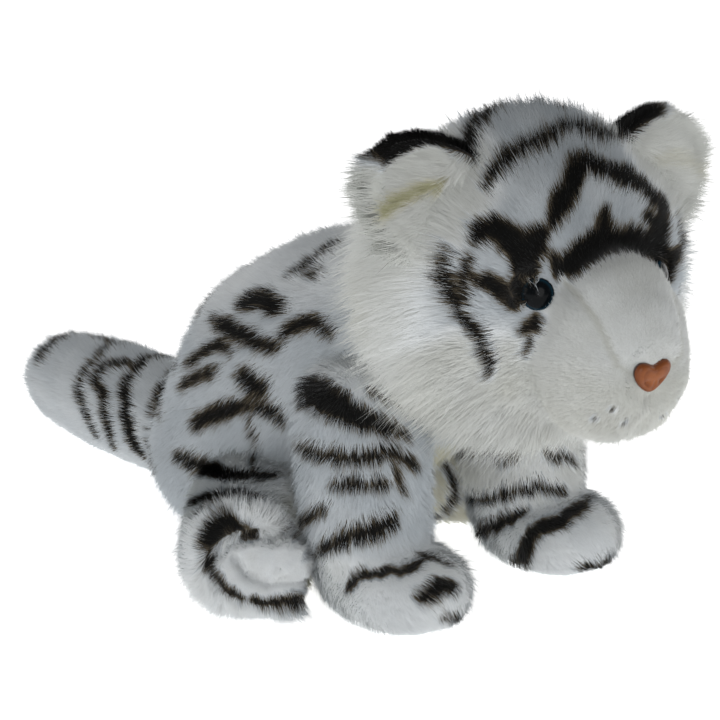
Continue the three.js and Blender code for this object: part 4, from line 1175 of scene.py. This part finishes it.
def lay_ear(s, side, front):
    """Long pale pile in the ear's cup, hanging to its outer edge, and black pile on its back and top rim."""
    up, inner, high, wide, rim = ear_places(s, side)
    outward = np.outer(high + EAR_FAN, up) + np.outer(wide, inner)
    ahead = s.normals @ (HEAD_AXES @ np.array((0, -1, 0)))
    s.cover *= np.maximum(ease(*EAR_FACING, ahead if front else -ahead), ease(*EAR_RIM_COVER, rim))
    if front:
        hang = ease(*EAR_HANG_BELOW, high)[:, None]
        to_rim, rise, to_edge = EAR_RUN
        run = unit(outward) * to_rim + up * rise - inner * to_edge
        way = mix(run, up * EAR_HANG_UP - inner, hang)
        s.lie = along(way @ HEAD_AXES.T, s.normals) * LEANS["ear"]
        s.pile = mix(pile_on("ear"), pile_on("ear_hang"), hang[:, 0])
        s.pile = mix(s.pile, pile_on("ear_rim"), ease(*EAR_SHORT_RIM, rim) * ease(*EAR_SHORT_IN, wide))
        s.tone[:] = EAR_TONE
        black_from = LEFT_EAR_BLACK_FROM if side > 0 else 0
        black = ease(*EAR_BLACK_RIM, rim) * ease(*EAR_BLACK_IN, wide - black_from)
        s.tone = mix(s.tone, BLACK, black)
    else:
        s.lie = along((unit(outward) + inner * EAR_BACK_IN) @ HEAD_AXES.T, s.normals) * LEANS["ear_back"]
        limit = mix(*BACK_BLACK_FROM, ease(*BACK_RIM, rim))
        s.pile = mix(pile_on("ear_back"), pile_on("ear_back_top"), ease(*BACK_LONG_IN, wide))
        s.tone = mix(WHITE, BLACK, ease(*BACK_BLACK_IN, wide - limit))
        if side > 0:
            s.tone = mix(s.tone, WHITE, ease(*LEFT_WHITE_RIM, rim) * ease(*LEFT_WHITE_IN, wide))


# Every piece's form and pile in turn
LEAST_BESIDE = {"torso": 12 * MM, "head": 12 * MM}  # length of pile that is kept beside another piece
LEAST_BESIDE_LIMB = 6 * MM
for side in SIDES:
    crown_sole(skins[f"sole_{side}"])
soften_seam(skins["head"])
crease_muzzle(skins["head"])
for side, way in SIDES.items():
    fill_ear(skins[f"ear_front_{side}"], way)
lay_torso(skins["torso"])
lay_belly(skins["belly"])
lay_head(skins["head"])
lay_tail(skins["tail"])
for side, way in SIDES.items():
    lay_foreleg(skins[f"foreleg_{side}"], way)
    lay_hind_leg(skins[f"hind_leg_{side}"], way, skins[f"sole_{side}"])
    lay_sole(skins[f"sole_{side}"])
    lay_ear(skins[f"ear_front_{side}"], way, True)
    lay_ear(skins[f"ear_back_{side}"], way, False)
layered = {f"ear_{part}_{side}" for part in ("front", "back") for side in SIDES}
for name, skin in skins.items():
    others = [o for other, o in skins.items() if other != name and not {name, other} <= layered]
    skin.make_room(others, least=LEAST_BESIDE.get(name, LEAST_BESIDE_LIMB))
dye(skins)
# Painted shade along the fold in each ear's cup, fainter on the left
for side in SIDES:
    ear = skins[f"ear_front_{side}"]
    crease_shade = traced([skins["ear_front_right"]], EAR_CREASE_SHADE)
    crease_shade = crease_shade if side == "right" else mirrored(crease_shade, True)
    gap = np.linalg.norm(ear.tips()[:, None] - crease_shade[None], axis=-1).min(1)
    depth = 1 if side == "right" else LEFT_CREASE_SHADE_SHARE
    ear.tone = mix(ear.tone, CREASE_SHADE_TONE, ease(*CREASE_SHADE_REACH, gap) * depth)
face = skins["head"]
# Painted shade along the muzzle's seams, then the dark whisker dots
for spots, half, tone in (
        (traced([face], BRIDGE_SEAM, bare=True), SEAM_SHADE_LINE, WARM_WHITE),
        (np.vstack([traced([face], (dot, dot), bare=True) for dot in WHISKER_DOTS]), WHISKER_DOT, BLACK)):
    for places in (spots, mirrored(spots, True)):
        gap = np.linalg.norm(face.points[:, None] - places[None], axis=-1).min(1)
        face.tone = mix(face.tone, tone, ease(half + LINE_FADE_OUT, half - LINE_FADE_IN, gap))


# Strands of pile
ROOT_DEPTH = 0.3 * MM  # of a strand's root in the skin
START_LIE, START_LOOSE = 0.55, 0.5  # pull of the skin's lie, and of chance, at a strand's root
END_UP, END_LIE, END_TUFT = 0.42, 1.25, 1.5  # pull of the normal, the lie and the tuft at its tip
FACING_LIE, FACING_LOOSE = 0.2, 0.3  # the same for how a strand takes the light
LENGTH_LUCK, LENGTH_LEAST = 0.25, 0.8
LENGTH_TUFT, LENGTH_TUFT_LEAST = 0.5, 0.75
LONG_RARE = 12.0  # the higher, the fewer strands stand out
LONG_PLAIN, LONG_DYED = 0.5, 0.08  # how much longer those are
DYED_FROM, DYED_TO = 0.4, 0.6  # tones
TWIST = 0.5
WIDTH_SHARES = 0.35, 0.6
TUFT_TONE = 0.025
TINT_ENDS = 0.004, 0.996
BEND_HEIGHT, BEND_WIDTH = 0.55, 0.75  # where a strand bends, and its width there, as shares
# Layers that only the growing needs
STRAND_LAYERS = ("facing", "root", "start", "end", "across", "tint", "tall", "side",
                 "pile", "lie", "coat", "cover")


def strand_shape():
    """One flat strand, wide at its root and pointed, as its height and side at each point."""
    mesh = bpy.data.meshes.new("strand")
    tall, side = (0, 0, BEND_HEIGHT, BEND_HEIGHT, 1), (-1, 1, BEND_WIDTH, -BEND_WIDTH, 0)
    mesh.from_pydata(list(zip(side, (0,) * 5, tall)), [], [(0, 1, 2, 3), (3, 2, 4)])
    obj = bpy.data.objects.new("strand", mesh)
    write(obj, "tall", np.array(tall))
    write(obj, "side", np.array(side))
    scene.collection.objects.link(obj)
    return obj


def pile_tree():
    """Strands over a skin: they follow its "lie", are as long as its "pile" and take its "coat"."""
    tree = bpy.data.node_groups.new("strands of pile", "GeometryNodeTree")
    tree.interface.new_socket("Skin", in_out="INPUT", socket_type="NodeSocketGeometry")
    inputs = {}
    for label, kind in (
            ("Strand", "Object"), ("Strands per square metre", "Float"), ("Strand width", "Float"),
            ("Unruliness", "Float"), ("Tuft size", "Float"), ("Tone spread", "Float"),
            ("Fringe mixing", "Float"), ("Seed", "Int"), ("Pile", "Material")):
        socket = tree.interface.new_socket(label, in_out="INPUT", socket_type=f"NodeSocket{kind}")
        inputs[label] = socket.identifier
    tree.interface.new_socket("Strands", in_out="OUTPUT", socket_type="NodeSocketGeometry")
    w = Wiring(tree)
    put, got = w.add("NodeGroupInput"), w.add("NodeGroupOutput")
    given = put.outputs

    def layer(name, kind="FLOAT"):
        return w.get("GeometryNodeInputNamedAttribute", "Attribute", {"Name": name}, data_type=kind)

    def chance(low, high, seed, kind="FLOAT"):
        return w.get("FunctionNodeRandomValue", "Value", {
            "Min": low, "Max": high, "Seed": w.sum("ADD", given["Seed"], float(seed))}, data_type=kind)

    density = w.sum("MULTIPLY", layer("cover"), given["Strands per square metre"])
    spread = w.add("GeometryNodeDistributePointsOnFaces", {
        "Mesh": given["Skin"], "Density": density, "Seed": given["Seed"]}, distribute_method="RANDOM")
    up, place = spread.outputs["Normal"], w.get("GeometryNodeInputPosition", "Position")
    tuft = w.add("ShaderNodeTexNoise", {
        "Vector": place, "Scale": w.sum("DIVIDE", 1.0, given["Tuft size"]), "Detail": 1.5})
    tuft_way = w.way("SUBTRACT", tuft.outputs["Color"], (0.5, 0.5, 0.5))
    loose = w.scaled(chance((-1, -1, -1), (1, 1, 1), 1, "FLOAT_VECTOR"), given["Unruliness"])
    lie = layer("lie", "FLOAT_VECTOR")

    def aimed(first, second, third):
        return w.way("NORMALIZE", w.way("ADD", w.way("ADD", first, second), third))

    start = aimed(up, w.scaled(lie, START_LIE), w.scaled(loose, START_LOOSE))
    drift = w.way("ADD", w.scaled(tuft_way, END_TUFT), loose)
    end = aimed(w.scaled(up, END_UP), w.scaled(lie, END_LIE), drift)
    # A few strands stand out longer, by less in the bands
    luck = chance(0.0, 1.0, 2)
    plain = w.get("ShaderNodeMapRange", "Result", {
        "Value": layer("coat"), "From Min": DYED_FROM, "From Max": DYED_TO,
        "To Min": LONG_PLAIN, "To Max": LONG_DYED})
    common = w.sum("MULTIPLY_ADD", luck, LENGTH_LUCK, LENGTH_LEAST)
    uneven = w.sum("MULTIPLY_ADD", w.sum("POWER", luck, LONG_RARE), plain, common)
    tufted = w.sum("MULTIPLY_ADD", tuft.outputs["Fac"], LENGTH_TUFT, LENGTH_TUFT_LEAST)
    length = w.sum("MULTIPLY", layer("pile"), w.sum("MULTIPLY", uneven, tufted))
    twist = w.scaled(chance((-1, -1, -1), (1, 1, 1), 3, "FLOAT_VECTOR"), TWIST)
    level = w.way("NORMALIZE", w.way("CROSS_PRODUCT", end, up))
    across = w.scaled(w.way("NORMALIZE", w.way("ADD", level, twist)),
                      w.sum("MULTIPLY", given["Strand width"], chance(*WIDTH_SHARES, 4)))
    coat = layer("coat")
    dyed = w.sum("MAXIMUM", w.sum("SUBTRACT", coat, FRINGE_FROM), 0.0)
    fringe = w.sum("MULTIPLY", w.sum("MULTIPLY", dyed, w.sum("SUBTRACT", 1.0, coat)), given["Fringe mixing"])
    stray = w.sum("ADD", given["Tone spread"], fringe)
    tone = w.sum("ADD", coat, w.sum("MULTIPLY", stray, chance(-1.0, 1.0, 5)))
    tone = w.sum("MULTIPLY_ADD", w.sum("SUBTRACT", tuft.outputs["Fac"], 0.5), TUFT_TONE, tone)

    facing = aimed(up, w.scaled(lie, FACING_LIE), w.scaled(loose, FACING_LOOSE))
    root = w.way("SUBTRACT", place, w.scaled(up, ROOT_DEPTH))
    kept = spread.outputs["Points"]
    for name, value, kind in (
            ("facing", facing, "FLOAT_VECTOR"), ("root", root, "FLOAT_VECTOR"),
            ("start", w.scaled(start, length), "FLOAT_VECTOR"),
            ("end", w.scaled(end, length), "FLOAT_VECTOR"),
            ("across", across, "FLOAT_VECTOR"), ("tint", tone, "FLOAT")):
        kept = w.get("GeometryNodeStoreNamedAttribute", "Geometry", {
            "Geometry": kept, "Name": name, "Value": value}, data_type=kind, domain="POINT")
    strand = w.get("GeometryNodeObjectInfo", "Geometry", {"Object": given["Strand"]})
    planted = w.get("GeometryNodeInstanceOnPoints", "Instances", {"Points": kept, "Instance": strand})
    real = w.get("GeometryNodeRealizeInstances", "Geometry", {"Geometry": planted})
    tall = layer("tall")
    late = w.sum("MULTIPLY", w.sum("MULTIPLY", tall, tall), 0.5)
    bent = w.way("ADD", w.scaled(layer("start", "FLOAT_VECTOR"), w.sum("SUBTRACT", tall, late)),
                 w.scaled(layer("end", "FLOAT_VECTOR"), late))
    spot = w.way("ADD", w.way("ADD", layer("root", "FLOAT_VECTOR"), bent),
                 w.scaled(layer("across", "FLOAT_VECTOR"), layer("side")))
    parts = w.add("ShaderNodeSeparateXYZ", {"Vector": spot})
    height = w.sum("MINIMUM", w.sum("MAXIMUM", parts.outputs["Z"], FLOOR_GAP), PILE_TOP)
    above = w.get("ShaderNodeCombineXYZ", "Vector", {
        "X": parts.outputs["X"], "Y": parts.outputs["Y"], "Z": height})
    moved = w.get("GeometryNodeSetPosition", "Geometry", {"Geometry": real, "Position": above})
    tint = w.get("ShaderNodeClamp", "Result", {
        "Value": layer("tint"), "Min": TINT_ENDS[0], "Max": TINT_ENDS[1]})
    chart = w.get("ShaderNodeCombineXYZ", "Vector", {"X": tint, "Y": tall})
    mapped = w.get("GeometryNodeStoreNamedAttribute", "Geometry", {
        "Geometry": moved, "Name": "OFBake", "Value": chart}, data_type="FLOAT2", domain="CORNER")
    smooth = w.get("GeometryNodeSetMeshNormal", "Mesh", {
        "Mesh": w.add("GeometryNodeSetShadeSmooth", {0: mapped}).outputs[0],
        "Custom Normal": layer("facing", "FLOAT_VECTOR")}, mode="FREE", domain="POINT")
    w.feed(got.inputs["Strands"], w.get("GeometryNodeSetMaterial", "Geometry", {
        "Geometry": smooth, "Material": given["Pile"]}))
    return tree, inputs


STRAND = strand_shape()
PILE_TREE, PILE_INPUTS = pile_tree()
FRINGE_MIXING = 2.2
FIRST_SEED = 100
PILES = {  # strands in a square centimetre, their width in mm, unruliness, tuft size in mm and tone spread
    "torso": (185, 0.33, 0.36, 6, 0.008),
    "belly": (200, 0.33, 0.22, 6, 0.008),
    "crown": (260, 0.33, 0.22, 6, 0.008),
    "ruff": (250, 0.3, 0.25, 9, 0.008),
    "muzzle": (380, 0.28, 0.22, 5, 0.006),
    "foreleg": (205, 0.33, 0.22, 6, 0.008),
    "hind_leg": (230, 0.33, 0.22, 6, 0.008),
    "sole": (420, 0.26, 0.22, 4, 0.006),
    "tail": (180, 0.33, 0.22, 6, 0.008),
    "ear_front_left": (520, 0.28, 0.38, 8, 0.008),
    "ear_front_right": (520, 0.28, 0.22, 8, 0.008),
    "ear_back": (450, 0.28, 0.22, 5, 0.008),
}


def grow(name, skin, material, kind, share=None):
    """Grows one piece of pile on a skin, or on a share of it."""
    per_cm2, width, unruly, tuft, spread = PILES[kind]
    obj = bpy.data.objects.new(name, skin.obj.data.copy())
    scene.collection.objects.link(obj)
    write(obj, "cover", skin.cover if share is None else skin.cover * share)
    for layer, values in (("pile", skin.pile), ("lie", skin.lie), ("coat", skin.tone)):
        write(obj, layer, values)
    pile = obj.modifiers.new("pile", "NODES")
    pile.node_group = PILE_TREE
    for label, value in (
            ("Strand", STRAND), ("Strands per square metre", per_cm2 * 1e4), ("Strand width", width * MM),
            ("Unruliness", unruly), ("Tuft size", tuft * MM), ("Tone spread", spread),
            ("Fringe mixing", FRINGE_MIXING), ("Seed", FIRST_SEED + len(name)), ("Pile", material)):
        pile[PILE_INPUTS[label]] = value
    settle(obj)
    layers = obj.data.attributes
    for layer in [a.name for a in layers if a.name in STRAND_LAYERS]:
        layers.remove(layers[layer])
    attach(obj, skin.body)
    obj.visible_shadow = False  # light passes between strands


# The pile of each piece
SPINE_HALF = 24 * MM  # of the middle strip of the torso's pile
torso_x = skins["torso"].points[:, 0]
for name, share in (("right", torso_x < -SPINE_HALF), ("middle", abs(torso_x) <= SPINE_HALF),
                    ("left", torso_x > SPINE_HALF)):
    grow(f"torso_pile_{name}", skins["torso"], LONG_PILE, "torso", share.astype(float))
grow("belly_pile", skins["belly"], LONG_PILE, "belly")
head = skins["head"]
head_x = in_head(head.points)[:, 0]
for side, way in SIDES.items():
    half = (head_x * way > 0) * (1 - head.muzzle)
    grow(f"crown_pile_{side}", head, LONG_PILE, "crown", half * (head.ruff < 0.5))
    grow(f"ruff_pile_{side}", head, LONG_PILE, "ruff", half * (head.ruff >= 0.5))
    for leg in ("foreleg", "hind_leg"):
        grow(f"{leg}_pile_{side}", skins[f"{leg}_{side}"], LONG_PILE, leg)
    grow(f"sole_pile_{side}", skins[f"sole_{side}"], SHORT_PILE, "sole")
    grow(f"ear_front_pile_{side}", skins[f"ear_front_{side}"], EAR_PILE, f"ear_front_{side}")
    grow(f"ear_back_pile_{side}", skins[f"ear_back_{side}"], EAR_PILE, "ear_back")
grow("muzzle_pile", head, SHORT_PILE, "muzzle", head.muzzle)
grow("tail_pile", skins["tail"], LONG_PILE, "tail")
bpy.data.objects.remove(STRAND)

EAR_FULLNESS, FULLNESS = 0.35, 0.8
for name, skin in skins.items():
    skin.declare(EAR_FULLNESS if name.startswith("ear") else FULLNESS)

# Floor and light
FLOOR_SIDE = 12
FLOOR_GLOW = 0.85
ROOM_LIGHT, BACKDROP_LIGHT = 0.27, 1.0
SOFTBOXES = {  # place, what it faces and width, in metres, then watts
    "key": ((-1.0, -1.35, 0.5), (0, -0.05, 0.1), 1.0, 6.5),
    "front": ((0.7, -1.7, 0.4), (0, -0.1, 0.1), 0.8, 3.5),
    "side": ((-1.6, 0.7, 0.5), (0, 0, 0.1), 1.0, 5),
    "far side": ((1.7, -0.3, 0.5), (0, 0, 0.1), 1.0, 6),
    "behind": ((0.5, 1.8, 0.6), (0, 0, 0.1), 1.0, 10),
}
floor_mesh = bpy.data.meshes.new("floor")
half = FLOOR_SIDE / 2
corners = [(-half, -half, 0), (half, -half, 0), (half, half, 0), (-half, half, 0)]
floor_mesh.from_pydata(corners, [], [(0, 1, 2, 3)])
floor = bpy.data.objects.new("floor", floor_mesh)
scene.collection.objects.link(floor)
floor_paper, w, shader = new_material("floor paper")
shader.inputs["Base Color"].default_value = (0.86, 0.86, 0.86, 1)
shader.inputs["Roughness"].default_value = 0.9
shader.inputs["Emission Color"].default_value = (1, 1, 1, 1)
shader.inputs["Emission Strength"].default_value = FLOOR_GLOW
floor_mesh.materials.append(floor_paper)

world = bpy.data.worlds.new("studio")
world.use_nodes = True
room = Wiring(world.node_tree)
backdrop = world.node_tree.nodes["Background"].inputs
room.feed(backdrop["Color"], (1, 1, 1, 1))
seen = room.get("ShaderNodeLightPath", "Is Camera Ray")
room.feed(backdrop["Strength"], room.get("ShaderNodeMapRange", "Result", {
    "Value": seen, "To Min": ROOM_LIGHT, "To Max": BACKDROP_LIGHT}))
scene.world = world


def softbox(name, place, aim, size, power):
    lamp = bpy.data.lights.new(name, "AREA")
    lamp.shape, lamp.size, lamp.energy = "DISK", size, power
    obj = bpy.data.objects.new(name, lamp)
    obj.location = place
    obj.rotation_euler = (Vector(aim) - Vector(place)).to_track_quat("-Z", "Y").to_euler()
    scene.collection.objects.link(obj)


for name, setting in SOFTBOXES.items():
    softbox(name, *setting)
scene.view_settings.view_transform = "Standard"
